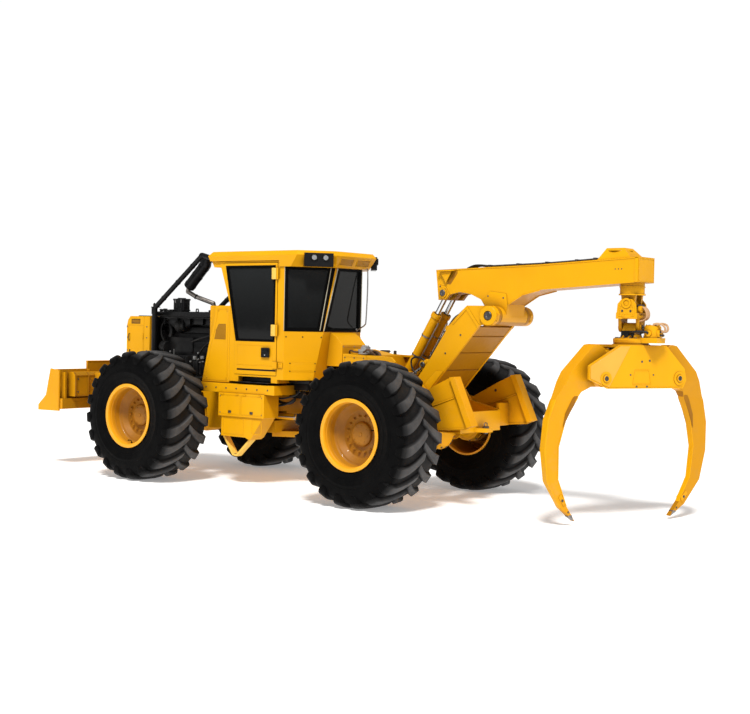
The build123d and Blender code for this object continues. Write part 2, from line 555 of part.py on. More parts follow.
# ------------------------------------------------------------ boom
BOOM = [(-2177, 2906), (-3673, 2959), (-4950, 3033), (-4950, 2745), (-3682, 2657), (-3440, 2600), (-3240, 2480),
        (-3225, 2340), (-2990, 2340), (-2855, 2538), (-2700, 2605), (-2539, 2629), (-2400, 2600), (-2340, 2530), (-2222, 2530)]
boom = prism_xz(BOOM, -BOOM_HALF_W, BOOM_HALF_W) + cyl_y(BOOM_PIVOT[0], BOOM_PIVOT[1], 118, -290, 290)
boom = boom - cyl_y(BOOM_PIVOT[0], BOOM_PIVOT[1], 50.5, -300, 300)
for s in (1, -1):
    boom = boom - box(-2470, -2100, *sorted((s * (BOOM_CYL_Y - 46), s * (BOOM_CYL_Y + 46))), 2400, 2765)
    boom = boom + cyl_y(BOOM_TAIL[0], BOOM_TAIL[1], 60, *sorted((s * (BOOM_HALF_W - 40), s * 222)))
# tip tube with the fork of the swing pin, and the cap on top
boom = boom + cyl_z(TIP_X, 0, 140, 2600, 2800)
boom = boom + Solid.make_loft([ring([(-4420, 190), (-4420, -190), (-4860, -190), (-4860, 190)], 3000),
                               ring([(-4500, 110), (-4500, -110), (-4720, -110), (-4720, 110)], 3140)], ruled=True)
for y0, y1 in ((60, 100), (-100, -60)):
    boom = boom + prism_xz([(TIP_X - 90, 2605), (TIP_X + 90, 2605), (TIP_X + 75, LINK_PIN_Z - 20), (TIP_X + 30, LINK_PIN_Z - 62),
                            (TIP_X - 30, LINK_PIN_Z - 62), (TIP_X - 75, LINK_PIN_Z - 20)], y0, y1)
boom = boom + cyl_y(TIP_X, LINK_PIN_Z, 28, -112, 112)
save("boom", boom)
mb, mr = cylinder(BOOM_FOOT, BOOM_TAIL, (BOOM_CYL_Y, -BOOM_CYL_Y), 58, 34, 232, 280, 64, 66, 56, 35)
save("boom_cylinder_barrels", mb)
save("boom_cylinder_rods", mr)

# ------------------------------------------------------------ grapple
# swing link: upper eye on the boom's pin, lower fork with the cross pin
link = prism_xz([(TIP_X - 60, LINK_PIN_Z + 10), (TIP_X - 30, LINK_PIN_Z + 55), (TIP_X + 30, LINK_PIN_Z + 55), (TIP_X + 60, LINK_PIN_Z + 10),
                 (TIP_X + 70, 2420), (TIP_X + 130, 2330), (TIP_X - 130, 2330), (TIP_X - 70, 2420)], -54, 54)
link = link + box(TIP_X - 130, TIP_X + 130, -138, 138, 2330, 2400)
# cheeks outside the boom's fork
for y0, y1 in ((118, 138), (-138, -118)):
    link = link + prism_xz([(TIP_X - 62, LINK_PIN_Z + 56), (TIP_X + 62, LINK_PIN_Z + 56), (TIP_X + 112, LINK_PIN_Z), (TIP_X + 128, 2335), (TIP_X - 128, 2335),
                            (TIP_X - 112, LINK_PIN_Z)], y0, y1)
for x0 in (TIP_X - 130, TIP_X + 90):
    link = link + prism_yz([(-80, 2340), (80, 2340), (70, CROSS_PIN_Z), (30, CROSS_PIN_Z - 55), (-30, CROSS_PIN_Z - 55), (-70, CROSS_PIN_Z)], x0, x0 + 40)
link = link + cyl_x(0, CROSS_PIN_Z, 28, TIP_X - 142, TIP_X + 142)
link = link - cyl_y(TIP_X, LINK_PIN_Z, 28.5, -70, 70)
save("swing_link", link)
# rotator housing under the cross pin, with its motor behind
rot = prism_yz([(-70, 2100), (70, 2100), (60, CROSS_PIN_Z), (28, CROSS_PIN_Z + 52), (-28, CROSS_PIN_Z + 52), (-60, CROSS_PIN_Z)], TIP_X - 80, TIP_X + 80)
rot = rot + cyl_z(TIP_X, 0, 200, HEAD_TOP_Z + 10, 2110) - cyl_x(0, CROSS_PIN_Z, 28.5, TIP_X - 90, TIP_X + 90)
rot = rot + box(TIP_X - 370, TIP_X - 150, -110, 110, 2060, 2120) + cyl_z(TIP_X - 265, 0, 95, 2060, 2250)
rot = rot - cyl_z(TIP_X, 0, 60.5, 2000, 2100)
save("rotator", rot)


def place_grapple(s):
    """From the grapple's own axes (X front to back, Y along the opening) to the machine's."""
    return Pos(TIP_X, 0, 0) * Rot(0, 0, GRAPPLE_YAW) * s


# head: two side plates, top plate and end webs, open below (sideways, up)
HEAD = [(-330, HEAD_TOP_Z), (330, HEAD_TOP_Z), (757, 1803), (757, 1652), (490, 1545), (-590, 1545), (-640, 1640), (-610, 1770)]
head = None
for side, x0, x1 in ((1, -225, -190), (-1, 190, 225)):
    p = prism_yz([(side * y, z) for y, z in HEAD], x0, x1)
    head = p if head is None else head + p
head = head + box(-225, 225, -330, 330, 2005, HEAD_TOP_Z)
head = head + cyl_z(0, 0, 60, 2020, 2095) + cyl_z(0, 0, 215, 2010, HEAD_TOP_Z + 2)
head = head + box(-200, 200, -60, 60, 1560, 1600)
for s in (1, -1):
    head = head + cyl_x(s * TONG_PIVOT[0], TONG_PIVOT[1], 42, -245, 245)
save("grapple_head", place_grapple(head))

# tong, left: side view (sideways, up), then made narrower towards the tip
TONG = [(430, 1880), (440, 1990), (540, 2040), (600, 2030), (905, 1730), (1070, 1400), (1138, 1150), (1150, 820), (1080, 470), (868, 185), (664, 40),
        (655, 46), (785, 210), (930, 500), (962, 860), (895, 1170), (735, 1500), (620, 1560), (450, 1560), (420, 1680)]


def swung(points, deg):
    """The tong's outline with its lower part set further out by deg about the pivot."""
    out = []
    for y, z in points:
        a = radians(deg) * max(0.0, min(1.0, (1600 - z) / 400.0))
        dy, dz = y - TONG_PIVOT[0], z - TONG_PIVOT[1]
        out.append((TONG_PIVOT[0] + dy * cos(a) - dz * sin(a), TONG_PIVOT[1] + dy * sin(a) + dz * cos(a)))
    return out


def make_tong(deg):
    t = prism_yz(swung(TONG, deg), -95, 95)
    # thick where it carries the pins, then a narrow plate section down to the tip
    t = t & prism_xz([(-95, 2100), (95, 2100), (95, 1620), (50, 1440), (30, -60), (-30, -60), (-50, 1440), (-95, 1620)], 300, 1500)
    t = t - prism_yz([(370, 1760), (370, 2100), (532, 2100), (532, 1760)], -58, 58)
    t = t - cyl_x(TONG_PIVOT[0], TONG_PIVOT[1], 42.5, -200, 200)
    t = t + cyl_x(TONG_PIVOT[0], TONG_PIVOT[1], 100, -180, -90) + cyl_x(TONG_PIVOT[0], TONG_PIVOT[1], 100, 90, 180) \
        - cyl_x(TONG_PIVOT[0], TONG_PIVOT[1], 42.5, -200, 200)
    return t


tong_left = make_tong(4.0) + cyl_x(TONG_CYL[0], TONG_CYL[1], 24, -90, 90)
tong_right = mirror_y(make_tong(-1.5))
save("tong_left", place_grapple(tong_left))
save("tong_right", place_grapple(tong_right))
# grapple cylinder between the tongs' upper ends
r0, r1 = TONG_CYL[0], -TONG_CYL[0]
zc = TONG_CYL[1]
barrel = rod((0, r0 - 34, zc), (0, r1 + 240 + 60, zc), 50) + cyl_x(r0, zc, 42, -40, 40) - cyl_x(r0, zc, 24.5, -60, 60) \
    - rod((0, r0 - 100, zc), (0, r1, zc), 28.5)
rodp = rod((0, r0 - 350, zc), (0, r1 + 30, zc), 28) + cyl_x(r1, zc, 40, -38, 38) - cyl_x(r1, zc, 22, -60, 60)
save("grapple_cylinder_barrel", place_grapple(barrel))
save("grapple_cylinder_rod", place_grapple(rodp))

b = Compound(children=[v for v in NODES.values()]).bounding_box()
print("nodes", len(NODES), "size", b.min, b.max)
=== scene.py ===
import math
import bmesh
import bpy
import numpy as np
from mathutils import Matrix, Vector


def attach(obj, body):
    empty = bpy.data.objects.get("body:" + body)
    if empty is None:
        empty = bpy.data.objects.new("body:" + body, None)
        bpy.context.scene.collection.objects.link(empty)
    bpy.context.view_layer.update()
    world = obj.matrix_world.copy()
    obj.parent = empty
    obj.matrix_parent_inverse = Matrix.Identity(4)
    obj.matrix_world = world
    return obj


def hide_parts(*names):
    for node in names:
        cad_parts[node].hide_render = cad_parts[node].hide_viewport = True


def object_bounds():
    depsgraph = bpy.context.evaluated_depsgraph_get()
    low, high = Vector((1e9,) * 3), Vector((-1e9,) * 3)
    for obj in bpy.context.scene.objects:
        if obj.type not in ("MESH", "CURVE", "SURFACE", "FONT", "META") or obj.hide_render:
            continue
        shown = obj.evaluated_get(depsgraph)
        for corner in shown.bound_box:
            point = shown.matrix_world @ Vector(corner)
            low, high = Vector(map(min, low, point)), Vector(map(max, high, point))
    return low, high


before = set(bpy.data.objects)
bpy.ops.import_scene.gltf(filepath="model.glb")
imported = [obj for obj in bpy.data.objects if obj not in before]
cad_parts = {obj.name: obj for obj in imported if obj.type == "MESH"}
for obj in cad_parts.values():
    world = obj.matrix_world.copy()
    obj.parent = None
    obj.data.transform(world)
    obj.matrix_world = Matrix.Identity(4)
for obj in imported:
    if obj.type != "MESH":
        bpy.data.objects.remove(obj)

CAD_LO, CAD_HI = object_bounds()
CAD_LO, CAD_HI = [float(v) for v in CAD_LO], [float(v) for v in CAD_HI]
SC = bpy.context.scene

# Places are written in millimetres about the centre pivot, as the CAD is; the
# frame's origin is SHIFT further back, at the middle of the whole length.
SHIFT = 473.0


def V(x, y, z):
    return Vector(((x + SHIFT) / 1000.0, y / 1000.0, z / 1000.0))


# ---------------------------------------------------------------- materials
def new_mat(name):
    m = bpy.data.materials.new(name)
    m.use_nodes = True
    nt = m.node_tree
    nt.nodes.clear()
    out = nt.nodes.new("ShaderNodeOutputMaterial")
    bs = nt.nodes.new("ShaderNodeBsdfPrincipled")
    nt.links.new(bs.outputs[0], out.inputs[0])
    return m, nt, bs


def node(nt, kind, **kw):
    n = nt.nodes.new(kind)
    for k, v in kw.items():
        if k in n.inputs:
            n.inputs[k].default_value = v
        else:
            setattr(n, k, v)
    return n


def noise(nt, co, scale, detail=4, rough=0.55):
    n = node(nt, "ShaderNodeTexNoise")
    n.inputs["Scale"].default_value = scale
    n.inputs["Detail"].default_value = detail
    n.inputs["Roughness"].default_value = rough
    nt.links.new(co, n.inputs["Vector"])
    return n.outputs["Fac"]


def ramp(nt, fac, stops):
    r = node(nt, "ShaderNodeValToRGB")
    e = r.color_ramp.elements
    while len(e) < len(stops):
        e.new(0.5)
    for el, (p, c) in zip(e, stops):
        el.position = p
        el.color = (c[0], c[1], c[2], 1) if hasattr(c, "__len__") else (c, c, c, 1)
    nt.links.new(fac, r.inputs[0])
    return r.outputs[0]


def mix_rgb(nt, fac, a, b, mode="MIX"):
    m = node(nt, "ShaderNodeMix", data_type="RGBA", blend_type=mode)
    for sock, v in ((m.inputs[0], fac), (m.inputs[6], a), (m.inputs[7], b)):
        if hasattr(v, "is_output"):
            nt.links.new(v, sock)
        elif hasattr(v, "__len__"):
            sock.default_value = (v[0], v[1], v[2], 1)
        else:
            sock.default_value = v
    return m.outputs[2]


def math_node(nt, op, a, b=0.0, c=0.0):
    m = node(nt, "ShaderNodeMath", operation=op)
    for sock, v in zip(m.inputs, (a, b, c)):
        if hasattr(v, "is_output"):
            nt.links.new(v, sock)
        else:
            sock.default_value = v
    return m.outputs[0]


def coords(nt):
    return nt.nodes.new("ShaderNodeTexCoord").outputs["Object"]


def bump(nt, bs, height, strength, dist):
    b = node(nt, "ShaderNodeBump")
    b.inputs["Strength"].default_value = strength
    b.inputs["Distance"].default_value = dist
    nt.links.new(height, b.inputs["Height"])
    nt.links.new(b.outputs[0], bs.inputs["Normal"])


def paint(name, base, dark, light, rough=(0.34, 0.48), coat=0.12, dust=0.10, dust_col=(0.42, 0.30, 0.16), dust_z=1.3, chips=0.0, spec=0.15, corner=0.0):
    """Sprayed enamel: slow tone drift, fine orange peel, dust that gathers low down, and with corner set, painted shade
    darkening corners and under edges.
    """
    m, nt, bs = new_mat(name)
    co = coords(nt)
    big = noise(nt, co, 1.3, 3, 0.5)
    fine = noise(nt, co, 26, 5, 0.6)
    col = ramp(nt, big, [(0.30, dark), (0.52, base), (0.72, light)])
    grime = ramp(nt, noise(nt, co, 7.5, 6, 0.7), [(0.52, 0.0), (0.80, 1.0)])
    sep = node(nt, "ShaderNodeSeparateXYZ")
    nt.links.new(co, sep.inputs[0])
    low = math_node(nt, "MULTIPLY_ADD", sep.outputs[2], -1.0 / dust_z, 1.0)
    low = ramp(nt, low, [(0.0, 0.25), (0.9, 1.0)])
    amount = math_node(nt, "MULTIPLY", math_node(nt, "MULTIPLY", grime, low), dust)
    col = mix_rgb(nt, amount, col, dust_col)
    if corner:
        # painted shade: corners and under edges darkened by ambient occlusion
        ao = node(nt, "ShaderNodeAmbientOcclusion")
        ao.samples = 8
        ao.inputs["Distance"].default_value = 0.22
        crevice_shade_mask = ramp(nt, ao.outputs["AO"], [(0.30, 1.0), (0.95, 0.0)])
        crevice_shade_mask = math_node(nt, "MULTIPLY", crevice_shade_mask, math_node(nt, "MULTIPLY_ADD", big, 0.5, corner))
        col = mix_rgb(nt, crevice_shade_mask, col, (0.20, 0.082, 0.004))
    if chips:
        spots = ramp(nt, noise(nt, co, 60, 3, 0.5), [(0.70, 0.0), (0.74, 1.0)])
        col = mix_rgb(nt, math_node(nt, "MULTIPLY", spots, chips), col, (0.10, 0.055, 0.03))
    nt.links.new(col, bs.inputs["Base Color"])
    r = ramp(nt, fine, [(0.3, rough[0]), (0.7, rough[1])])
    r2 = math_node(nt, "ADD", r, math_node(nt, "MULTIPLY", amount, 0.8))
    nt.links.new(r2, bs.inputs["Roughness"])
    bs.inputs["Coat Weight"].default_value = coat
    bs.inputs["Coat Roughness"].default_value = 0.12
    bs.inputs["Specular IOR Level"].default_value = spec
    bump(nt, bs, noise(nt, co, 210, 3, 0.5), 0.10, 0.0006)
    return m


def rubber(name, base=(0.0045, 0.0045, 0.005), light=(0.012, 0.012, 0.0125), rough=(0.50, 0.68)):
    m, nt, bs = new_mat(name)
    co = coords(nt)
    col = ramp(nt, noise(nt, co, 6, 6, 0.65), [(0.35, base), (0.72, light)])
    nt.links.new(col, bs.inputs["Base Color"])
    r = ramp(nt, noise(nt, co, 18, 5, 0.6), [(0.3, rough[0]), (0.7, rough[1])])
    nt.links.new(r, bs.inputs["Roughness"])
    bs.inputs["Specular IOR Level"].default_value = 0.35
    bump(nt, bs, noise(nt, co, 120, 5, 0.65), 0.22, 0.0012)
    return m


def metal(name, base, dark, rough=(0.18, 0.34), metallic=1.0, scale=(4, 4, 90), bump_s=0.08):
    m, nt, bs = new_mat(name)
    co = coords(nt)
    mp = node(nt, "ShaderNodeMapping")
    mp.inputs["Scale"].default_value = scale
    nt.links.new(co, mp.inputs[0])
    streak = noise(nt, mp.outputs[0], 1.0, 4, 0.6)
    col = ramp(nt, streak, [(0.3, dark), (0.7, base)])
    nt.links.new(col, bs.inputs["Base Color"])
    nt.links.new(ramp(nt, streak, [(0.3, rough[0]), (0.7, rough[1])]), bs.inputs["Roughness"])
    bs.inputs["Metallic"].default_value = metallic
    bump(nt, bs, noise(nt, co, 160, 4, 0.6), bump_s, 0.0006)
    return m


def plastic(name, base, light, rough=(0.45, 0.6), grain=260, depth=0.0008):
    m, nt, bs = new_mat(name)
    co = coords(nt)
    nt.links.new(ramp(nt, noise(nt, co, 5, 4, 0.6), [(0.3, base), (0.75, light)]), bs.inputs["Base Color"])
    nt.links.new(ramp(nt, noise(nt, co, 22, 4, 0.6), [(0.3, rough[0]), (0.7, rough[1])]), bs.inputs["Roughness"])
    vor = node(nt, "ShaderNodeTexVoronoi")
    vor.inputs["Scale"].default_value = grain
    nt.links.new(co, vor.inputs["Vector"])
    bump(nt, bs, vor.outputs["Distance"], 0.15, depth)
    return m


def glass_mat(name):
    """Smoked pane: near black low down, a little greyer towards the top as a painted reflection, thin dust film."""
    m, nt, bs = new_mat(name)
    co = coords(nt)
    sep = node(nt, "ShaderNodeSeparateXYZ")
    nt.links.new(co, sep.inputs[0])
    # painted reflection: the tone turns greyer towards the top
    high = ramp(nt, math_node(nt, "MULTIPLY_ADD", sep.outputs[2], 0.72, -1.15), [(0.10, 0.0), (0.55, 0.45), (0.90, 1.0)])
    tone = mix_rgb(nt, high, (0.0012, 0.0013, 0.0014), (0.021, 0.0228, 0.0235))
    dust = ramp(nt, noise(nt, co, 3.5, 6, 0.7), [(0.45, 0.0), (0.85, 1.0)])
    nt.links.new(mix_rgb(nt, math_node(nt, "MULTIPLY", dust, 0.35), tone, (0.016, 0.0165, 0.0165)), bs.inputs["Base Color"])
    nt.links.new(math_node(nt, "MULTIPLY_ADD", dust, 0.06, 0.03), bs.inputs["Roughness"])
    bs.inputs["Transmission Weight"].default_value = 0.30
    bs.inputs["IOR"].default_value = 1.45
    bs.inputs["Specular IOR Level"].default_value = 0.06
    return m


def cloth_mat(name, base, light):
    m, nt, bs = new_mat(name)
    co = coords(nt)
    nt.links.new(ramp(nt, noise(nt, co, 9, 5, 0.6), [(0.3, base), (0.7, light)]), bs.inputs["Base Color"])
    bs.inputs["Roughness"].default_value = 0.88
    bs.inputs["Sheen Weight"].default_value = 0.35
    ch = node(nt, "ShaderNodeTexChecker")
    ch.inputs["Scale"].default_value = 420
    nt.links.new(co, ch.inputs["Vector"])
    bump(nt, bs, ch.outputs["Fac"], 0.3, 0.0012)
    return m


def lens_mat(name):
    m, nt, bs = new_mat(name)
    co = coords(nt)
    w = node(nt, "ShaderNodeTexWave")
    w.inputs["Scale"].default_value = 60
    w.inputs["Distortion"].default_value = 0.0
    nt.links.new(co, w.inputs["Vector"])
    nt.links.new(mix_rgb(nt, w.outputs["Fac"], (0.20, 0.21, 0.22), (0.42, 0.43, 0.44)), bs.inputs["Base Color"])
    bs.inputs["Roughness"].default_value = 0.12
    bs.inputs["Transmission Weight"].default_value = 0.15
    bump(nt, bs, w.outputs["Fac"], 0.4, 0.001)
    return m


# corner sets how much painted shade darkens corners and under edges
YELLOW = paint("yellow_enamel", (0.80, 0.376, 0.0018), (0.75, 0.348, 0.0018), (0.83, 0.395, 0.0025), coat=0.035, corner=0.55)
YELLOW_RIM = paint("yellow_rim_enamel", (0.84, 0.37, 0.010), (0.80, 0.345, 0.009), (0.87, 0.40, 0.012), rough=(0.3, 0.45), dust=0.28)
YELLOW_WORN = paint("yellow_working_face", (0.76, 0.340, 0.003), (0.69, 0.300, 0.003), (0.80, 0.362, 0.004), rough=(0.33, 0.5), coat=0.035, dust=0.35, chips=0.30, corner=0.5)
# paler yellow as painted highlight, for small plates and edges that catch the light
YELLOW_PALE = paint("yellow_light_edge", (0.88, 0.55, 0.10), (0.84, 0.51, 0.09), (0.90, 0.60, 0.14), dust=0.15)
BLACK = paint("black_enamel", (0.0055, 0.0055, 0.0062), (0.004, 0.004, 0.0045), (0.010, 0.010, 0.0105), rough=(0.30, 0.44), coat=0.05, dust=0.12, dust_col=(0.05, 0.042, 0.034), spec=0.16)
ENGINE = paint("engine_black_paint", (0.0065, 0.0065, 0.007), (0.004, 0.004, 0.0045), (0.016, 0.0155, 0.015), rough=(0.38, 0.55), coat=0.04, dust=0.4, dust_col=(0.05, 0.042, 0.036), dust_z=3.0, spec=0.18)
RUBBER = rubber("tyre_rubber")
HOSE = rubber("hose_rubber", (0.008, 0.008, 0.008), (0.016, 0.0155, 0.015), (0.38, 0.52))
CHROME = metal("chromed_rod", (0.78, 0.79, 0.80), (0.62, 0.63, 0.64), (0.08, 0.16), scale=(60, 60, 6))
STEEL = metal("bare_steel", (0.42, 0.41, 0.40), (0.25, 0.24, 0.235), (0.28, 0.45), scale=(9, 9, 9))
DARK_STEEL = metal("oiled_pin_steel", (0.16, 0.15, 0.145), (0.07, 0.065, 0.06), (0.32, 0.5), metallic=0.9, scale=(12, 12, 12))
ALLOY = metal("cast_alloy", (0.55, 0.55, 0.54), (0.36, 0.36, 0.355), (0.35, 0.5), metallic=0.85, scale=(20, 20, 20), bump_s=0.2)
HEAT_STEEL = metal("heat_stained_steel", (0.34, 0.32, 0.30), (0.17, 0.14, 0.12), (0.35, 0.55), scale=(14, 14, 14))
GLASS = glass_mat("tinted_glass_pane")
PLASTIC = plastic("moulded_console", (0.022, 0.023, 0.025), (0.040, 0.041, 0.043))
GASKET = plastic("black_gasket", (0.0012, 0.0012, 0.0012), (0.0028, 0.0028, 0.0028), (0.5, 0.65), 400, 0.0004)
GASKET.node_tree.nodes["Principled BSDF"].inputs["Specular IOR Level"].default_value = 0.05
CLOTH = cloth_mat("seat_fabric", (0.030, 0.031, 0.034), (0.055, 0.056, 0.060))
LENS = lens_mat("lamp_lens")
# pale colour as painted highlight, for strips along the pane edges
PALE_HIGHLIGHT = plastic("pale_painted_highlight_strip", (0.40, 0.37, 0.27), (0.47, 0.44, 0.33))
# brown as painted shade, for grilles, recesses and the mesh window
GRILLE_BROWN = paint("grille_shadow_brown", (0.30, 0.135, 0.008), (0.25, 0.11, 0.007), (0.35, 0.16, 0.010), spec=0.15, coat=0.0)
# darker yellow as painted shade, for ribs, seams, gussets and plates that sit in shade
YELLOW_SHADE = paint("yellow_painted_shade", (0.30, 0.120, 0.003), (0.24, 0.095, 0.003), (0.37, 0.155, 0.004), rough=(0.38, 0.52), dust=0.3, spec=0.2, coat=0.03)
HOSE_BROWN = rubber("hose_weathered", (0.070, 0.034, 0.018), (0.12, 0.062, 0.030), (0.45, 0.6))
HOSE_PALE = rubber("hose_sleeve_peach", (0.48, 0.27, 0.13), (0.60, 0.37, 0.19), (0.5, 0.65))
# paler, greyer yellow as painted highlight on a facet turned to the light
YELLOW_PAINTED_HIGHLIGHT = paint("yellow_painted_highlight_plate", (0.76, 0.385, 0.045), (0.70, 0.345, 0.040), (0.82, 0.43, 0.055), rough=(0.36, 0.5), dust=0.2, spec=0.25, coat=0.05)


def with_painted_shade(src, name, painted_shade, side, limit, y_to=None):
    """The same paint with painted shade: the faces whose outward direction passes limit are darkened to stand in for
    their shade.

    side: "back", "under" or "inner"; y_to: only within this distance, in metres, of the centre plane."""
    m = src.copy()
    m.name = name
    nt = m.node_tree
    bs = nt.nodes["Principled BSDF"]
    tc = node(nt, "ShaderNodeTexCoord")
    n = node(nt, "ShaderNodeSeparateXYZ")
    nt.links.new(tc.outputs["Normal"], n.inputs[0])
    p = node(nt, "ShaderNodeSeparateXYZ")
    nt.links.new(tc.outputs["Object"], p.inputs[0])
    if side == "back":
        v = math_node(nt, "MULTIPLY", n.outputs[0], -1.0)
    elif side == "under":
        v = math_node(nt, "MULTIPLY", n.outputs[2], -1.0)
    else:
        v = math_node(nt, "MULTIPLY", math_node(nt, "MULTIPLY", n.outputs[1], math_node(nt, "SIGN", p.outputs[1], 0.0)), -1.0)
    f = ramp(nt, v, [(limit, 0.0), (min(0.99, limit + 0.12), 1.0)])
    if y_to is not None:
        f = math_node(nt, "MULTIPLY", f, math_node(nt, "LESS_THAN", math_node(nt, "ABSOLUTE", p.outputs[1], 0.0), y_to))
    patch = ramp(nt, noise(nt, tc.outputs["Object"], 2.6, 5, 0.6), [(0.25, 0.72), (0.7, 0.96)])
    f = math_node(nt, "MULTIPLY", f, patch)
    old = bs.inputs["Base Color"].links[0].from_socket
    nt.links.new(mix_rgb(nt, f, old, painted_shade), bs.inputs["Base Color"])
    return m


# painted shade on faces turned back, down or inward: blade back, arch rear, boom underside, tong insides
BLADE_PAINT = with_painted_shade(YELLOW_WORN, "blade_enamel_painted_back_shade", (0.330, 0.150, 0.0040), "back", 0.45, 1.165)
ARCH_PAINT = with_painted_shade(YELLOW, "arch_enamel_painted_back_shade", (0.36, 0.150, 0.004), "back", 0.30, 0.356)
BOOM_PAINT = with_painted_shade(YELLOW, "boom_enamel_painted_under_shade", (0.42, 0.185, 0.020), "under", 0.55)
TONG_PAINT = with_painted_shade(YELLOW_WORN, "tong_enamel_painted_inner_shade", (0.36, 0.150, 0.003), "inner", 0.35)

# ------------------------------------------------------------ mesh helpers
class Piece:
    """Collects closed shapes, in millimetres about the centre pivot, and joins them as one object."""

    def __init__(self, name, body, mat, slot=None, smooth=38.0):
        self.name, self.body, self.mat, self.slot_name, self.smooth = name, body, mat, slot, smooth
        self.bm = bmesh.new()
        self.xf = None

    def take(self, bm, bevel=0.0, seg=2, angle=30.0):
        bm.normal_update()
        if bevel > 0:
            edges = [e for e in bm.edges if e.is_manifold and e.calc_face_angle(0) > math.radians(angle)]
            if edges:
                bmesh.ops.bevel(bm, geom=edges, offset=bevel, offset_type="OFFSET", segments=seg, profile=0.6, affect="EDGES", clamp_overlap=True)
        if self.xf is not None:
            bm.transform(self.xf)
        me = bpy.data.meshes.new("tmp")
        bm.to_mesh(me)
        bm.free()
        self.bm.from_mesh(me)
        bpy.data.meshes.remove(me)
        return self

    def box(self, x0, x1, y0, y1, z0, z1, bevel=4.0, seg=2):
        bm = bmesh.new()
        bmesh.ops.create_cube(bm, size=1.0)
        bm.transform(Matrix.Translation(((x0 + x1) / 2, (y0 + y1) / 2, (z0 + z1) / 2)) @ Matrix.Diagonal((abs(x1 - x0), abs(y1 - y0), abs(z1 - z0), 1)))
        return self.take(bm, min(bevel, 0.45 * min(abs(x1 - x0), abs(y1 - y0), abs(z1 - z0))), seg)

    def prism(self, pts, axis, a0, a1, bevel=4.0, seg=2):
        """pts are (X, Z) for axis y, (X, Y) for axis z and (Y, Z) for axis x."""
        put = {"y": lambda p, a: (p[0], a, p[1]), "z": lambda p, a: (p[0], p[1], a), "x": lambda p, a: (a, p[0], p[1])}[axis]
        bm = bmesh.new()
        lo = [bm.verts.new(put(p, a0)) for p in pts]
        hi = [bm.verts.new(put(p, a1)) for p in pts]
        bm.faces.new(lo)
        bm.faces.new(list(reversed(hi)))
        for i in range(len(pts)):
            j = (i + 1) % len(pts)
            bm.faces.new((lo[j], lo[i], hi[i], hi[j]))
        bmesh.ops.recalc_face_normals(bm, faces=bm.faces)
        return self.take(bm, min(bevel, 0.45 * abs(a1 - a0)), seg)

    def loft(self, rings, bevel=3.0, seg=2, close=True):
        """rings: lists of the same number of 3-D points; capped at both ends."""
        bm = bmesh.new()
        rows = [[bm.verts.new(p) for p in r] for r in rings]
        n = len(rows[0])
        for a, b in zip(rows, rows[1:]):
            for i in range(n):
                j = (i + 1) % n
                bm.faces.new((a[i], a[j], b[j], b[i]))
        bm.faces.new(list(reversed(rows[0])))
        bm.faces.new(rows[-1])
        bmesh.ops.recalc_face_normals(bm, faces=bm.faces)
        return self.take(bm, bevel, seg)

    def cyl(self, p, q, r, seg=28, bevel=2.0, r2=None, bseg=2):
        p, q = Vector(p), Vector(q)
        d = q - p
        bm = bmesh.new()
        bmesh.ops.create_cone(bm, cap_ends=True, segments=seg, radius1=r, radius2=r if r2 is None else r2, depth=d.length)
        bm.transform(Matrix.Translation((p + q) / 2) @ d.to_track_quat("Z", "Y").to_matrix().to_4x4())
        return self.take(bm, min(bevel, 0.4 * r, 0.4 * d.length), bseg, 50)

    def lathe(self, profile, origin, axis, seg=72, flip=False, closed=True):
        """profile: (radius, distance along axis) points; closed loop unless its ends sit on the axis."""
        origin, axis = Vector(origin), Vector(axis).normalized()
        q = axis.to_track_quat("Z", "Y").to_matrix()
        bm = bmesh.new()
        rows = []
        for r, t in profile:
            if r < 1e-6:
                rows.append([bm.verts.new(origin + axis * t)])
            else:
                rows.append([bm.verts.new(origin + axis * t + q @ Vector((r * math.cos(2 * math.pi * k / seg), r * math.sin(2 * math.pi * k / seg), 0))) for k in range(seg)])
        m = len(rows)
        pairs = [(i, (i + 1) % m) for i in range(m if closed else m - 1)]
        for i, j in pairs:
            a, b = rows[i], rows[j]
            for k in range(seg):
                l = (k + 1) % seg
                if len(a) == 1 and len(b) == 1:
                    continue
                if len(a) == 1:
                    bm.faces.new((a[0], b[l], b[k]))
                elif len(b) == 1:
                    bm.faces.new((a[k], a[l], b[0]))
                else:
                    bm.faces.new((a[k], a[l], b[l], b[k]))
        bmesh.ops.recalc_face_normals(bm, faces=bm.faces)
        return self.take(bm)

    def tube(self, pts, r, seg=12, steps=8, smooth=True, caps=True):
        """A round tube along a smooth line through the points."""
        P = smooth_line(pts, steps) if smooth else [Vector(p) for p in pts]
        rings = []
        up = None
        for i, c in enumerate(P):
            t = (P[min(i + 1, len(P) - 1)] - P[max(i - 1, 0)]).normalized()
            if up is None:
                up = Vector((0, 0, 1)) if abs(t.z) < 0.9 else Vector((1, 0, 0))
            side = t.cross(up).normalized()
            up = side.cross(t).normalized()
            rr = r[i] if hasattr(r, "__len__") else r
            rings.append([c + (side * math.cos(2 * math.pi * k / seg) + up * math.sin(2 * math.pi * k / seg)) * rr for k in range(seg)])
        return self.loft(rings, 0)

    def ring(self, outer, inner, put, a0, a1, bevel=1.5, seg=1):
        """A flat frame between two outlines with the same number of corners, from a0 to a1 outwards."""
        bm = bmesh.new()
        rows = [[bm.verts.new(put(u, v, a)) for u, v in pts] for pts, a in ((outer, a0), (outer, a1), (inner, a1), (inner, a0))]
        m = len(outer)
        for i in range(4):
            A, B = rows[i], rows[(i + 1) % 4]
            for k in range(m):
                l = (k + 1) % m
                bm.faces.new((A[k], A[l], B[l], B[k]))
        bmesh.ops.recalc_face_normals(bm, faces=bm.faces)
        return self.take(bm, bevel, seg)

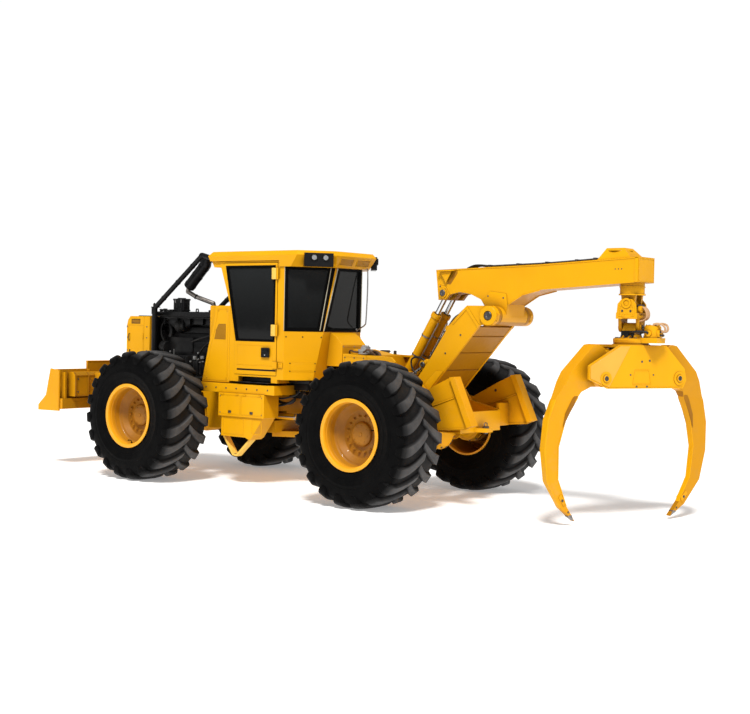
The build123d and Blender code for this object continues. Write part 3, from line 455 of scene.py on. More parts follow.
    def plate(self, pts, put, a0, a1, bevel=1.5, seg=1):
        """A plate with the outline pts, laid by put, from a0 to a1 outwards."""
        return self.loft([[put(u, v, a0) for u, v in pts], [put(u, v, a1) for u, v in pts]], bevel, seg)

    def bolt(self, p, n, r=11.0, h=8.0, washer=True):
        """A hex head on a washer, standing on a face whose outward normal is n."""
        p, n = Vector(p), Vector(n).normalized()
        if washer:
            self.cyl(p - n * 1.5, p + n * 2.0, r * 1.35, 20, 0.6, bseg=1)
        return self.cyl(p, p + n * h, r, 6, 1.2, bseg=1)

    def done(self, mods=True):
        me = bpy.data.meshes.new(self.name)
        self.bm.transform(Matrix.Translation((SHIFT / 1000.0, 0, 0)) @ Matrix.Diagonal((0.001, 0.001, 0.001, 1)))
        self.bm.normal_update()
        for f in self.bm.faces:
            f.smooth = True
        lim = math.radians(self.smooth)
        for e in self.bm.edges:
            e.smooth = e.is_manifold and e.calc_face_angle(0) < lim
        self.bm.to_mesh(me)
        self.bm.free()
        me.materials.append(self.mat)
        o = bpy.data.objects.new(self.name, me)
        SC.collection.objects.link(o)
        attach(o, self.body)
        return o


def smooth_line(pts, steps):
    """Points along a smooth line through pts, by Catmull-Rom spans."""
    P = [Vector(p) for p in pts]
    if len(P) == 2:
        return P
    out = []
    E = [P[0] * 2 - P[1]] + P + [P[-1] * 2 - P[-2]]
    for i in range(1, len(E) - 2):
        a, b, c, d = E[i - 1], E[i], E[i + 1], E[i + 2]
        for k in range(steps):
            t = k / steps
            out.append(0.5 * ((2 * b) + (c - a) * t + (2 * a - 5 * b + 4 * c - d) * t * t + (3 * b - a - 3 * c + d) * t ** 3))
    out.append(P[-1])
    return out


# ------------------------------------------------------------ finish of the CAD nodes
NODE_MAT = {
    "front_frame": YELLOW, "front_axle": YELLOW, "engine": ENGINE, "engine_hood": BLACK, "radiator_housing": YELLOW,
    "air_cleaner": BLACK, "muffler": BLACK, "exhaust_pipe": HEAT_STEEL, "limb_risers": BLACK, "nose_deck": YELLOW,
    "front_cowl": YELLOW, "cab_frame": YELLOW, "cab_rear_housing": YELLOW, "arch_cylinder_pins": DARK_STEEL, "cab_windows": GLASS, "cab_roof": YELLOW, "work_light_boxes": BLACK,
    "operator_seat": CLOTH, "control_consoles": PLASTIC, "side_boxes": YELLOW, "step_straps": YELLOW_PALE,
    "blade_pivots": DARK_STEEL, "door": YELLOW, "door_glass": GLASS, "door_handle": BLACK, "blade": BLADE_PAINT,
    "blade_cylinder_barrels": YELLOW, "blade_cylinder_rods": CHROME, "rear_frame": YELLOW, "rear_rails": YELLOW, "rear_axle": YELLOW,
    "log_guard": YELLOW_WORN, "rear_hood": YELLOW, "valve_block": ALLOY, "steering_barrel_left": YELLOW, "steering_barrel_right": YELLOW,
    "steering_rod_left": CHROME, "steering_rod_right": CHROME, "arch": ARCH_PAINT, "arch_cylinder_barrels": YELLOW,
    "arch_cylinder_rods": CHROME, "boom": BOOM_PAINT, "boom_cylinder_barrels": YELLOW, "boom_cylinder_rods": CHROME,
    "swing_link": YELLOW, "rotator": YELLOW, "grapple_head": YELLOW, "tong_left": TONG_PAINT, "tong_right": TONG_PAINT,
    "grapple_cylinder_barrel": YELLOW, "grapple_cylinder_rod": CHROME,
}
for w in ("front_left", "front_right", "rear_left", "rear_right"):
    NODE_MAT["tyre_" + w] = RUBBER
    NODE_MAT["wheel_" + w] = YELLOW_RIM
# edges of welded plate and castings are eased by this much, in metres
EASE = {"cab_windows": 0.001, "door_glass": 0.001, "door": 0.004, "boom": 0.008, "arch": 0.006, "tong_left": 0.006, "tong_right": 0.006,
        "grapple_head": 0.006, "cab_frame": 0.004, "cab_roof": 0.010, "rear_hood": 0.010, "radiator_housing": 0.012, "side_boxes": 0.008,
        "front_cowl": 0.012, "blade": 0.005, "log_guard": 0.005, "operator_seat": 0.03, "control_consoles": 0.012, "air_cleaner": 0.015}
for name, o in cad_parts.items():
    m = NODE_MAT.get(name, YELLOW)
    if len(o.data.materials) == 0:
        o.data.materials.append(m)
    for s in o.material_slots:
        s.link = "OBJECT"
        s.material = m
    if name.startswith(("tyre_", "wheel_")):
        continue
    weld = o.modifiers.new("join_faces", "WELD")
    weld.merge_threshold = 0.0002
    ease = o.modifiers.new("eased_edges", "BEVEL")
    ease.width = EASE.get(name, 0.004)
    ease.segments = 2
    ease.limit_method = "ANGLE"
    ease.angle_limit = math.radians(38)
    ease.harden_normals = False
    wn = o.modifiers.new("even_normals", "WEIGHTED_NORMAL")
    wn.keep_sharp = False
    wn.weight = 60


# ------------------------------------------------------------ wheels
def eased(pts, r=4.0, n=3, closed=True):
    """The same outline with each corner rounded by up to r."""
    out = []
    m = len(pts)
    for i, p in enumerate(pts):
        if not closed and i in (0, m - 1):
            out.append(tuple(p))
            continue
        a, b, c = Vector(pts[i - 1]).to_2d(), Vector(p).to_2d(), Vector(pts[(i + 1) % m]).to_2d()
        if b.x < 1e-6 and (a.x < 1e-6 or c.x < 1e-6):
            out.append(tuple(p))
            continue
        u, v = a - b, c - b
        k = min(r, 0.42 * u.length, 0.42 * v.length)
        if u.length < 1e-6 or v.length < 1e-6 or u.normalized().dot(v.normalized()) < -0.998:
            out.append(tuple(p))
            continue
        p0, p1 = b + u.normalized() * k, b + v.normalized() * k
        for j in range(n + 1):
            t = j / n
            q = p0 * (1 - t) ** 2 + b * 2 * t * (1 - t) + p1 * t * t
            out.append((q.x, q.y))
    return out


def local_object(name, bm_or_mesh, body, mat, slot, place, smooth=38.0):
    """An object whose mesh is in metres about its own centre, set down at place (a matrix)."""
    if isinstance(bm_or_mesh, bmesh.types.BMesh):
        bm = bm_or_mesh
        bm.normal_update()
        for f in bm.faces:
            f.smooth = True
        for e in bm.edges:
            e.smooth = e.is_manifold and e.calc_face_angle(0) < math.radians(smooth)
        me = bpy.data.meshes.new(name)
        bm.to_mesh(me)
        bm.free()
    else:
        me = bm_or_mesh.copy()
        me.name = name
    if len(me.materials) == 0:
        me.materials.append(mat)
    o = bpy.data.objects.new(name, me)
    SC.collection.objects.link(o)
    o.matrix_world = place
    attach(o, body)
    return o


def tyre_mat():
    """Tyre rubber: near black on the sidewall, scuffed and dusty on the tread."""
    m, nt, bs = new_mat("tyre_tread_rubber")
    co = coords(nt)
    sep = node(nt, "ShaderNodeSeparateXYZ")
    nt.links.new(co, sep.inputs[0])
    r = math_node(nt, "SQRT", math_node(nt, "ADD", math_node(nt, "MULTIPLY", sep.outputs[0], sep.outputs[0]), math_node(nt, "MULTIPLY", sep.outputs[2], sep.outputs[2])))
    tread = ramp(nt, math_node(nt, "MULTIPLY_ADD", r, 10.0, -7.9), [(0.15, 0.0), (0.62, 0.25), (0.92, 1.0)])
    n1 = noise(nt, co, 5.5, 6, 0.65)
    wall = ramp(nt, n1, [(0.35, (0.0012, 0.0012, 0.0014)), (0.75, (0.0036, 0.0035, 0.0034))])
    top = ramp(nt, n1, [(0.30, (0.030, 0.030, 0.031)), (0.60, (0.062, 0.061, 0.062)), (0.80, (0.090, 0.087, 0.084))])
    nt.links.new(mix_rgb(nt, tread, wall, top), bs.inputs["Base Color"])
    nt.links.new(ramp(nt, noise(nt, co, 16, 5, 0.6), [(0.3, 0.50), (0.7, 0.66)]), bs.inputs["Roughness"])
    nt.links.new(math_node(nt, "MULTIPLY_ADD", tread, 0.30, 0.055), bs.inputs["Specular IOR Level"])
    bump(nt, bs, noise(nt, co, 120, 5, 0.65), 0.22, 0.0012)
    return m


def rim_mat():
    """Rim enamel, with painted shade darkening the deep dish towards the hub."""
    m, nt, bs = new_mat("rim_enamel_painted_dish_shade")
    co = coords(nt)
    sep = node(nt, "ShaderNodeSeparateXYZ")
    nt.links.new(co, sep.inputs[0])
    r = math_node(nt, "SQRT", math_node(nt, "ADD", math_node(nt, "MULTIPLY", sep.outputs[0], sep.outputs[0]), math_node(nt, "MULTIPLY", sep.outputs[2], sep.outputs[2])))
    dep = math_node(nt, "ABSOLUTE", sep.outputs[1])
    dish_depth_shade = ramp(nt, math_node(nt, "MULTIPLY_ADD", dep, -8.0, 2.75), [(0.0, 0.0), (0.35, 0.35), (0.85, 1.0)])
    inner = ramp(nt, math_node(nt, "MULTIPLY_ADD", r, -25.0, 10.0), [(0.0, 0.0), (0.6, 1.0)])
    painted_shade = math_node(nt, "MULTIPLY", dish_depth_shade, inner)
    n1 = noise(nt, co, 4.0, 5, 0.6)
    painted_shade = math_node(nt, "MULTIPLY", painted_shade, math_node(nt, "MULTIPLY_ADD", n1, 0.5, 0.62))
    unshaded_enamel = ramp(nt, n1, [(0.3, (0.80, 0.345, 0.009)), (0.7, (0.87, 0.40, 0.012))])
    nt.links.new(mix_rgb(nt, painted_shade, unshaded_enamel, (0.255, 0.098, 0.0045)), bs.inputs["Base Color"])
    nt.links.new(math_node(nt, "MULTIPLY_ADD", painted_shade, 0.25, 0.34), bs.inputs["Roughness"])
    bs.inputs["Coat Weight"].default_value = 0.1
    bs.inputs["Specular IOR Level"].default_value = 0.3
    bump(nt, bs, noise(nt, co, 210, 3, 0.5), 0.10, 0.0006)
    return m


RIM_MAT = rim_mat()
TYRE = tyre_mat()
AXLE_X, TRACK, AXLE_Z = 1943.0, 1239.0, 889.0
# (radius, offset) of the tyre's carcass, one side, from the bead to the crown
CARCASS = [(412, 338), (436, 343), (452, 349), (470, 353), (484, 361), (496, 362), (506, 366), (545, 377), (590, 384), (596, 387.4), (606, 387.4), (612, 385),
           (660, 385), (705, 381), (742, 373), (770, 361), (794, 343), (812, 318), (824, 284), (833, 236), (839, 176), (843, 90), (844, 0)]
# (offset, radius at the lug's top, top width, base width)
LUG = [(-26, 880, 62, 104), (-6, 888.4, 66, 112), (60, 889, 72, 120), (130, 888.6, 82, 130), (200, 886, 94, 142), (262, 880.5, 106, 152),
       (312, 871, 116, 160), (343, 858, 120, 164), (364, 836, 120, 164), (377, 806, 114, 158), (384, 772, 104, 148), (386.5, 744, 88, 130), (385.5, 726, 64, 104)]
LUGS_A_SIDE = 20


def carcass_r(y):
    """Radius of the carcass at an offset, or None beyond its widest point."""
    pts = sorted([(o, r) for r, o in CARCASS if r >= 740])
    y = abs(y)
    for (y0, r0), (y1, r1) in zip(pts, pts[1:]):
        if y0 <= y <= y1:
            return r0 + (r1 - r0) * (y - y0) / (y1 - y0)
    return None


def make_tyre_mesh():
    p = Piece("tyre", "rear_frame", RUBBER)
    half = CARCASS
    prof = half + [(r, -o) for r, o in reversed(half[:-1])]
    p.lathe(prof, (0, 0, 0), (0, 1, 0), seg=120)
    # rings moulded on the sidewalls
    for side in (1, -1):
        for r, o in ((530, 373.5), (640, 386.0)):
            p.lathe([(r - 5, side * (o - 5)), (r - 2, side * (o + 1.2)), (r + 2, side * (o + 1.2)), (r + 5, side * (o - 5))], (0, 0, 0), (0, 1, 0), seg=120)
    # one lug, then all of them round both sides
    rings = []
    for i, (y, rt, wt, wb) in enumerate(LUG):
        back = 0.90 * y - 0.00095 * y * abs(y) if y > 0 else 0.9 * y
        if i >= 9:                                  # on the sidewall the root is level with the rubber
            root = (rt - 2, y - 26)
        else:
            cr = carcass_r(y) or 780
            root = (cr - 6, y) if i < 6 else (cr - 8, y - (i - 5) * 5)
        ring = []
        for (r, o), w in ((root, wb), ((rt, y), wt)):
            ring.append((r, o, w))
        (r0, o0, w0), (r1, o1, w1) = ring
        pts = []
        for r, o, c in ((r0, o0, -w0 / 2), (r1, o1, -w1 / 2), (r1, o1, w1 / 2), (r0, o0, w0 / 2)):
            th = (c - back) / 860.0
            pts.append((r * math.sin(th), o, r * math.cos(th)))
        rings.append(pts)
    q = Piece("lug", "rear_frame", RUBBER)
    q.loft(rings, bevel=7, seg=2)
    lug = bpy.data.meshes.new("lug")
    q.bm.to_mesh(lug)
    q.bm.free()
    step = 2 * math.pi / LUGS_A_SIDE
    for k in range(LUGS_A_SIDE):
        for side in (0, 1):
            b = bmesh.new()
            b.from_mesh(lug)
            m = Matrix.Rotation(step * (k + 0.5 * side), 4, "Y")
            if side:
                m = m @ Matrix.Diagonal((1, -1, 1, 1))
            b.transform(m)
            if side:
                bmesh.ops.reverse_faces(b, faces=b.faces)
            p.take(b)
    bpy.data.meshes.remove(lug)
    return p.bm


RIM = [(112, -150), (230, -150), (236, 64), (284, 68), (346, 130), (374, 134), (376, -345), (404, -345), (404, 345), (432, 345), (438, 352), (438, 363),
       (392, 363), (384, 330), (382, 166), (366, 150), (350, 146), (292, 90), (284, 86), (150, 86), (146, 122), (120, 134), (0, 134), (0, 62), (104, 62), (104, -150)]


def make_rim_mesh():
    p = Piece("rim", "rear_frame", YELLOW_RIM)
    p.lathe([q for q in eased(RIM, 7, 3)], (0, 0, 0), (0, 1, 0), seg=112)
    # step rings rolled into the barrel
    for y, d in ((300, 5.0), (236, 4.0)):
        p.lathe([(385.0, y - 9), (385 - d, y - 5), (385 - d, y + 5), (385.0, y + 9), (388, y)], (0, 0, 0), (0, 1, 0), seg=112)
    # wheel nuts on the disc, and the cover's screws
    for k in range(16):
        a = 2 * math.pi * k / 16
        c = Vector((218 * math.sin(a), 86, 218 * math.cos(a)))
        p.cyl(c, c + Vector((0, 5, 0)), 22, 20, 1.5)
        p.cyl(c + Vector((0, 4, 0)), c + Vector((0, 24, 0)), 16.5, 6, 2)
        p.cyl(c + Vector((0, 22, 0)), c + Vector((0, 34, 0)), 9, 14, 1.5)
    for k in range(8):
        a = 2 * math.pi * (k + 0.5) / 8
        c = Vector((104 * math.sin(a), 131, 104 * math.cos(a)))
        p.cyl(c, c + Vector((0, 9, 0)), 8, 6, 1)
    p.cyl((0, 132, 0), (0, 141, 0), 26, 8, 2)
    return p.bm


def make_valve_mesh():
    p = Piece("valve", "rear_frame", GASKET)
    p.cyl((0, 268, -380), (0, 268, -366), 13, 16, 2)
    p.tube([(0, 268, -372), (0, 274, -350), (0, 300, -338), (0, 326, -336)], 5.5, 10, 6)
    p.cyl((0, 318, -336), (0, 336, -336), 8, 12, 1.5)
    return p.bm


MM = Matrix.Diagonal((0.001, 0.001, 0.001, 1))
tyre_bm, rim_bm, valve_bm = make_tyre_mesh(), make_rim_mesh(), make_valve_mesh()
base = {}
for key, bm, mat in (("tyre", tyre_bm, TYRE), ("rim", rim_bm, RIM_MAT), ("valve", valve_bm, GASKET)):
    for side in ("left", "right"):
        b = bm.copy()
        b.transform(MM)
        if side == "right":
            b.transform(Matrix.Diagonal((1, -1, 1, 1)))
            bmesh.ops.reverse_faces(b, faces=b.faces)
        b.normal_update()
        for f in b.faces:
            f.smooth = True
        for e in b.edges:
            e.smooth = e.is_manifold and e.calc_face_angle(0) < math.radians(38)
        me = bpy.data.meshes.new(key + "_" + side)
        b.to_mesh(me)
        b.free()
        me.materials.append(mat)
        base[key, side] = me
    bm.free()
for end, fx, spin in (("front", 1, (0, 7)), ("rear", -1, (3, 11))):
    for side, fy, turn_deg in (("left", 1, spin[0]), ("right", -1, spin[1])):
        body = "wheel_%s_%s" % (end, side)
        c = V(AXLE_X * fx, TRACK * fy, AXLE_Z)
        for key, slot in (("tyre", "tyre_rubber"), ("rim", "rim_yellow"), ("valve", None)):
            angle = math.radians(turn_deg if key == "tyre" else (turn_deg + (0 if end == "front" else 100)))
            me = base[key, side].copy()
            me.transform(Matrix.Rotation(angle, 4, "Y"))
            o = bpy.data.objects.new("%s_%s_%s" % ({"tyre": "lugged_tyre", "rim": "dished_rim", "valve": "tyre_valve"}[key], end, side), me)
            SC.collection.objects.link(o)
            o.matrix_world = Matrix.Translation(c)
            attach(o, body)
            if key == "tyre":
                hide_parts("tyre_%s_%s" % (end, side))
            if key == "rim":
                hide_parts("wheel_%s_%s" % (end, side))

# ------------------------------------------------------------ cab
HYPOT_C = math.hypot(450.0, 540.0)
CDX, CDY = -450.0 / HYPOT_C, -540.0 / HYPOT_C
HYPOT_L = math.hypot(361.0, 435.0)
LDX, LDY = -361.0 / HYPOT_L, -435.0 / HYPOT_L


def rear_x(z):
    return -440 - 0.133 * (z - 1500)


def screen_x(z):
    return 800 + 0.3558 * (z - 2420)


def on_side(s, y0=800.0):
    return lambda x, z, a: (x, s * (y0 + a), z)


def on_corner(s):
    return lambda t, z, a: (-180 + CDX * t + CDY * a, s * (800 + CDY * t - CDX * a), z)


def on_rear(y, z, a):
    return (rear_x(z) - a, y, z)


def on_screen(y, z, a):
    return (screen_x(z) + a, y, z)


def on_lamp(s):
    return lambda t, z, a: (-352 + LDX * t + LDY * a, s * (825 + LDY * t - LDX * a), z)


def grown(pts, g):
    """The outline with each corner moved out from the middle by g each way."""
    cx = sum(p[0] for p in pts) / len(pts)
    cz = sum(p[1] for p in pts) / len(pts)
    return [(p[0] + (g if p[0] > cx else -g), p[1] + (g if p[1] > cz else -g)) for p in pts]


DOOR_WIN = [(-20, 1950), (680, 1950), (887, 2957), (-20, 2957)]
SIDE_WIN = [(-60, 1950), (690, 1950), (894, 2950), (-60, 2950)]
CORNER_WIN = [(14, 2110), (462, 2110), (602, 2930), (14, 2930)]
REAR_WIN = [(-352, 2110), (352, 2110), (228, 2930), (-228, 2930)]
SCREEN = [(-720, 2450), (720, 2450), (720, 2950), (-720, 2950)]


def cab_glazing():
    g = Piece("window_gaskets", "front_frame", GASKET)
    g.ring(grown(SIDE_WIN, 5), grown(SIDE_WIN, -18), on_side(-1), -17, 3)
    for s in (1, -1):
        g.ring([(2, 2092), (520, 2092), (672, 2940), (2, 2940)], [(30, 2126), (446, 2126), (580, 2916), (30, 2916)], on_corner(s), -17, 3)
    g.ring([(-384, 2094), (384, 2094), (262, 2938), (-262, 2938)], grown(REAR_WIN, -16), on_rear, -17, 3)
    g.ring([(-745, 2432), (745, 2432), (745, 2960), (-745, 2960)], grown(SCREEN, -18), on_screen, -30, 3)
    g.done()
    # black printed border inside the edge of each pane
    f = Piece("pane_borders", "front_frame", GASKET, smooth=20)
    for s in (1, -1):
        f.ring([(16, 2112), (458, 2112), (598, 2928), (16, 2928)], [(44, 2142), (446, 2142), (578, 2904), (44, 2904)], on_corner(s), -5, -3, 0.4)
    f.ring(grown(REAR_WIN, -2), grown(REAR_WIN, -30), on_rear, -5, -3, 0.4)
    f.ring(grown(SIDE_WIN, -2), [(-30, 1978), (660, 1978), (848, 2920), (-30, 2920)], on_side(-1), -5, -3, 0.4)
    f.done()
    f = Piece("door_pane_border", "door", GASKET, smooth=20)
    f.ring(grown(DOOR_WIN, -2), [(10, 1978), (650, 1978), (842, 2926), (10, 2926)], on_side(1, 806), -5, -3, 0.4)
    f.done()
    d = Piece("door_window_gasket", "door", GASKET)
    d.ring(grown(DOOR_WIN, 4), grown(DOOR_WIN, -16), on_side(1, 806), -13, 3)
    d.done()
    # pale strips along the pane edges as painted highlight; the corner one on the left side only
    st = Piece("glazing_edge_highlights", "front_frame", PALE_HIGHLIGHT)
    for s in (1, -1):
        put = on_corner(s)
        if s > 0:
            st.tube([put(480, 2110, 4), put(615, 2932, 4)], 6, 8)
        st.tube([(rear_x(2104) - 2, s * 391, 2104), (rear_x(2936) - 2, s * 258.5, 2936)], 6, 8)
        st.tube([(-180, s * 801, 2102), (-180, s * 801, 2936)], 4, 8)
    st.done()
    w = Piece("screen_wiper", "front_frame", BLACK)
    w.cyl(on_screen(-300, 2440, -4), on_screen(-300, 2440, 28), 15, 20)
    w.tube([on_screen(-300, 2440, 24), on_screen(-200, 2600, 22), on_screen(-90, 2760, 14)], 5, 8)
    w.tube([on_screen(-180, 2560, 8), on_screen(-20, 2900, 8)], 5, 8)
    w.done()


def cab_door_trim():
    p = Piece("door_stripe", "door", BLACK, "black_paint")
    p.box(-48, 650, 805.5, 808, 1556, 1577, 0.8)
    p.done()
    p = Piece("side_stripes", "front_frame", BLACK, "black_paint")
    p.box(-48, 650, -808, -799, 1556, 1577, 0.8)
    p.done()
    p = Piece("door_pull", "door", BLACK, "black_paint")
    p.ring([(54, 1739), (196, 1739), (196, 1866), (54, 1866)], [(66, 1751), (184, 1751), (184, 1854), (66, 1854)], on_side(1, 806), 17, 25, 2)
    p.box(76, 174, 826, 840, 1812, 1840, 5, 3)
    p.box(84, 100, 824, 834, 1820, 1834, 2)
    p.box(150, 166, 824, 834, 1820, 1834, 2)
    p.cyl((125, 824, 1772), (125, 832, 1772), 13, 24, 2)
    p.done()
    lk = Piece("door_lock_barrel", "door", CHROME)
    lk.cyl((125, 831, 1772), (125, 834, 1772), 9, 24, 1)
    lk.box(123.6, 126.4, 833.6, 834.4, 1766, 1778, 0.2)
    lk.done()
    # hinge leaves and their bolts
    # hinge leaves in paler yellow as painted highlight
    p = Piece("door_hinge_leaves", "door", YELLOW_PALE, "yellow_paint")
    for z, h in ((2100, 75), (2850, 75)):
        p.box(-45, 30, 821.5, 826, z - h, z + h, 1.5)
        for dz in (-45, 0, 45):
            p.bolt((10, 826, z + dz), (0, 1, 0), 7, 6)
    p.done()
    p = Piece("door_hinge_barrels", "front_frame", YELLOW, "yellow_paint")
    for z, h in ((1640, 45),):
        p.prism([(-170, z - h * 0.8), (-92, z - h * 0.8), (-92, z + h * 0.8), (-170, z + h * 0.8)], "y", 799, 812, 3)
        for dz in (-0.5, 0.5):
            p.bolt((-145, 812, z + dz * h), (0, 1, 0), 7, 6)
            p.bolt((-115, 812, z + dz * h), (0, 1, 0), 7, 6)
    p.done()
    # the pressed swage and seams of the lower door and wall panels
    p = Piece("door_swages", "door", YELLOW, "yellow_paint")
    p.ring([(10, 1625), (655, 1625), (655, 1905), (10, 1905)], [(22, 1637), (643, 1637), (643, 1893), (22, 1893)], on_side(1, 806), -2, 2.4, 2)
    p.done()
    p = Piece("wall_swages", "front_frame", YELLOW, "yellow_paint")
    p.ring([(10, 1625), (655, 1625), (655, 1905), (10, 1905)], [(22, 1637), (643, 1637), (643, 1893), (22, 1893)], on_side(-1), -2, 2.4, 2)
    for s in (1, -1):
        put = on_corner(s)
        p.plate([(80, 1560), (430, 1560), (430, 1680), (80, 1680)], put, -2, 3.0, 2)
        p.plate([(96, 1576), (414, 1576), (414, 1664), (96, 1664)], put, 2, 5.0, 2)
    p.done()
    p = Piece("panel_bolts", "front_frame", BLACK)
    for s in (1, -1):
        put = on_corner(s)
        for t, z in ((88, 1568), (422, 1568), (88, 1672), (422, 1672)):
            a, b = Vector(put(t, z, 3)), Vector(put(t, z, 10))
            p.bolt(a, b - a, 6, 5)
        for t in (30, 250, 500):
            a, b = Vector(put(t, 2020, 0)), Vector(put(t, 2020, 8))
            p.bolt(a, b - a, 7, 5)
    p.done()


def cab_step_pocket():
    # black sheets lining the step pocket as painted shade in the recess
    p = Piece("step_pocket_shade_liner", "front_frame", BLACK, "black_paint")
    for s in (1, -1):
        p.box(39, 624, s * 713, s * 717, 1394, 1468, 1)
        p.box(39, 624, s * 716, s * 852, 1391, 1396, 1)
    p.done()
    t = Piece("step_pocket_tread", "front_frame", STEEL)
    for s in (1, -1):
        for k in range(28):
            x = 46 + k * 20.4
            t.box(x, x + 5, s * 722, s * 846, 1395.5, 1399, 1)
    t.done()


def cab_rear_parts():
    # black rubber boot where the hoses pass under the rear wall, its black also painted shade under the housing's
    # overhang
    p = Piece("hose_pass_boot", "front_frame", GASKET)
    p.loft([[(-452, -235, 1500), (-452, 235, 1500), (-462, 235, 1632), (-462, -235, 1632)],
            [(-478, -215, 1512), (-478, 215, 1512), (-486, 215, 1620), (-486, -215, 1620)]], 6, 2)
    for k in range(6):
        y = -170 + 68 * k
        p.cyl((-470, y, 1566), (-500, y, 1564), 24, 20, 4)
    p.done()
    h = Piece("hose_pass_stubs", "front_frame", HOSE)
    for k in range(6):
        y = -170 + 68 * k
        h.tube([(-488, y, 1564), (-520, y, 1556), (-545, y * 0.9, 1510), (-540, y * 0.8, 1440), (-515, y * 0.7, 1398)], 15, 12, 6)
    h.done()
    # housing's lid seam and screws
    l = Piece("housing_lid", "front_frame", YELLOW, "yellow_paint")
    l.ring([(-236, 1655), (236, 1655), (236, 1912), (-236, 1912)], [(-222, 1669), (222, 1669), (222, 1898), (-222, 1898)], lambda y, z, a: (-727 - a, y, z), -2, 3, 2)
    l.done()
    l = Piece("housing_screws", "front_frame", STEEL)
    for y in (-229, 0, 229):
        for z in (1662, 1905):
            l.bolt((-730, y, z), (-1, 0, 0), 6, 5)
    l.done()
    # bent rod on the right rear corner
    r = Piece("rear_corner_rod", "front_frame", STEEL)
    r.tube([(-690, -300, 2950), (-698, -300, 2900), (-700, -300, 2650), (-684, -300, 2260), (-664, -300, 2195), (-600, -300, 2155), (-521, -300, 2124)], 9, 10, 6)
    r.cyl((-531, -300, 2128), (-519, -300, 2123), 20, 20, 2)
    r.done()


def cab_roof_parts():
    p = Piece("roof_trim", "front_frame", YELLOW, "yellow_paint")
    # two shallow framed grilles in the rear edge
    put = lambda y, z, a: (-676 - 0.4837 * (z - 2942) - a, y, z)
    for y0, y1 in ((-320, -30), (30, 320)):
        p.ring([(y0, 2966), (y1, 2966), (y1, 3072), (y0, 3072)], [(y0 + 12, 2978), (y1 - 12, 2978), (y1 - 12, 3060), (y0 + 12, 3060)], put, -3, 4, 2)
    # pressed ribs of the roof panel
    for y in (-520, -260, 0, 260, 520):
        p.box(-300 if abs(y) > 300 else -560, 1060, y - 34, y + 34, 3150, 3157.5, 3)
    p.done()
    # grille slats in brown as painted shade
    g = Piece("roof_grilles", "front_frame", GRILLE_BROWN)
    for y0, y1 in ((-306, -44), (44, 306)):
        for k in range(6):
            z = 2982 + k * 13
            g.plate([(y0, z), (y1, z), (y1, z + 7), (y0, z + 7)], put, -1, 2.2, 1)
    g.done()
    for side, s in (("left", 1), ("right", -1)):
        put = on_lamp(s)
        b = Piece("work_lamp_bodies_" + side, "front_frame", BLACK, "black_paint")
        n = Piece("work_lamp_lenses_" + side, "front_frame", LENS)
        for t in (258, 410):
            a, c = Vector(put(t, 3062, 58)), Vector(put(t, 3062, 60))
            d = (c - a).normalized()
            b.lathe(eased([(44, 0), (44, 16), (40, 21), (34, 21), (33, 12), (0, 12), (0, 0)], 2, 2, False)[:-1] + [(0, 0)], a, d, seg=40, closed=False)
            n.lathe([(0, 13), (33.5, 13), (33.5, 16), (22, 18), (0, 19)], a, d, seg=40, closed=False)
            for dz in (-34, 34):
                b.bolt(Vector(put(t + 46, 3062 + dz, 59)), d, 5, 4)
        b.done()
        n.done()
    # front lamps under the visor
    b = Piece("front_lamp_bodies", "front_frame", BLACK, "black_paint")
    n = Piece("front_lamp_lenses", "front_frame", LENS)
    for y in (-640, -420, 420, 640):
        b.lathe([(0, 0), (58, 0), (66, 8), (66, 52), (58, 58), (50, 56), (48, 44), (0, 44)], (1128, y, 3020), (1, 0, -0.12), seg=40, closed=False)
        b.box(1090, 1140, y - 16, y + 16, 3006, 3034, 3)
        n.lathe([(0, 43), (49, 43), (49, 49), (30, 53), (0, 54)], (1128, y, 3020), (1, 0, -0.12), seg=40, closed=False)
    b.done()
    n.done()


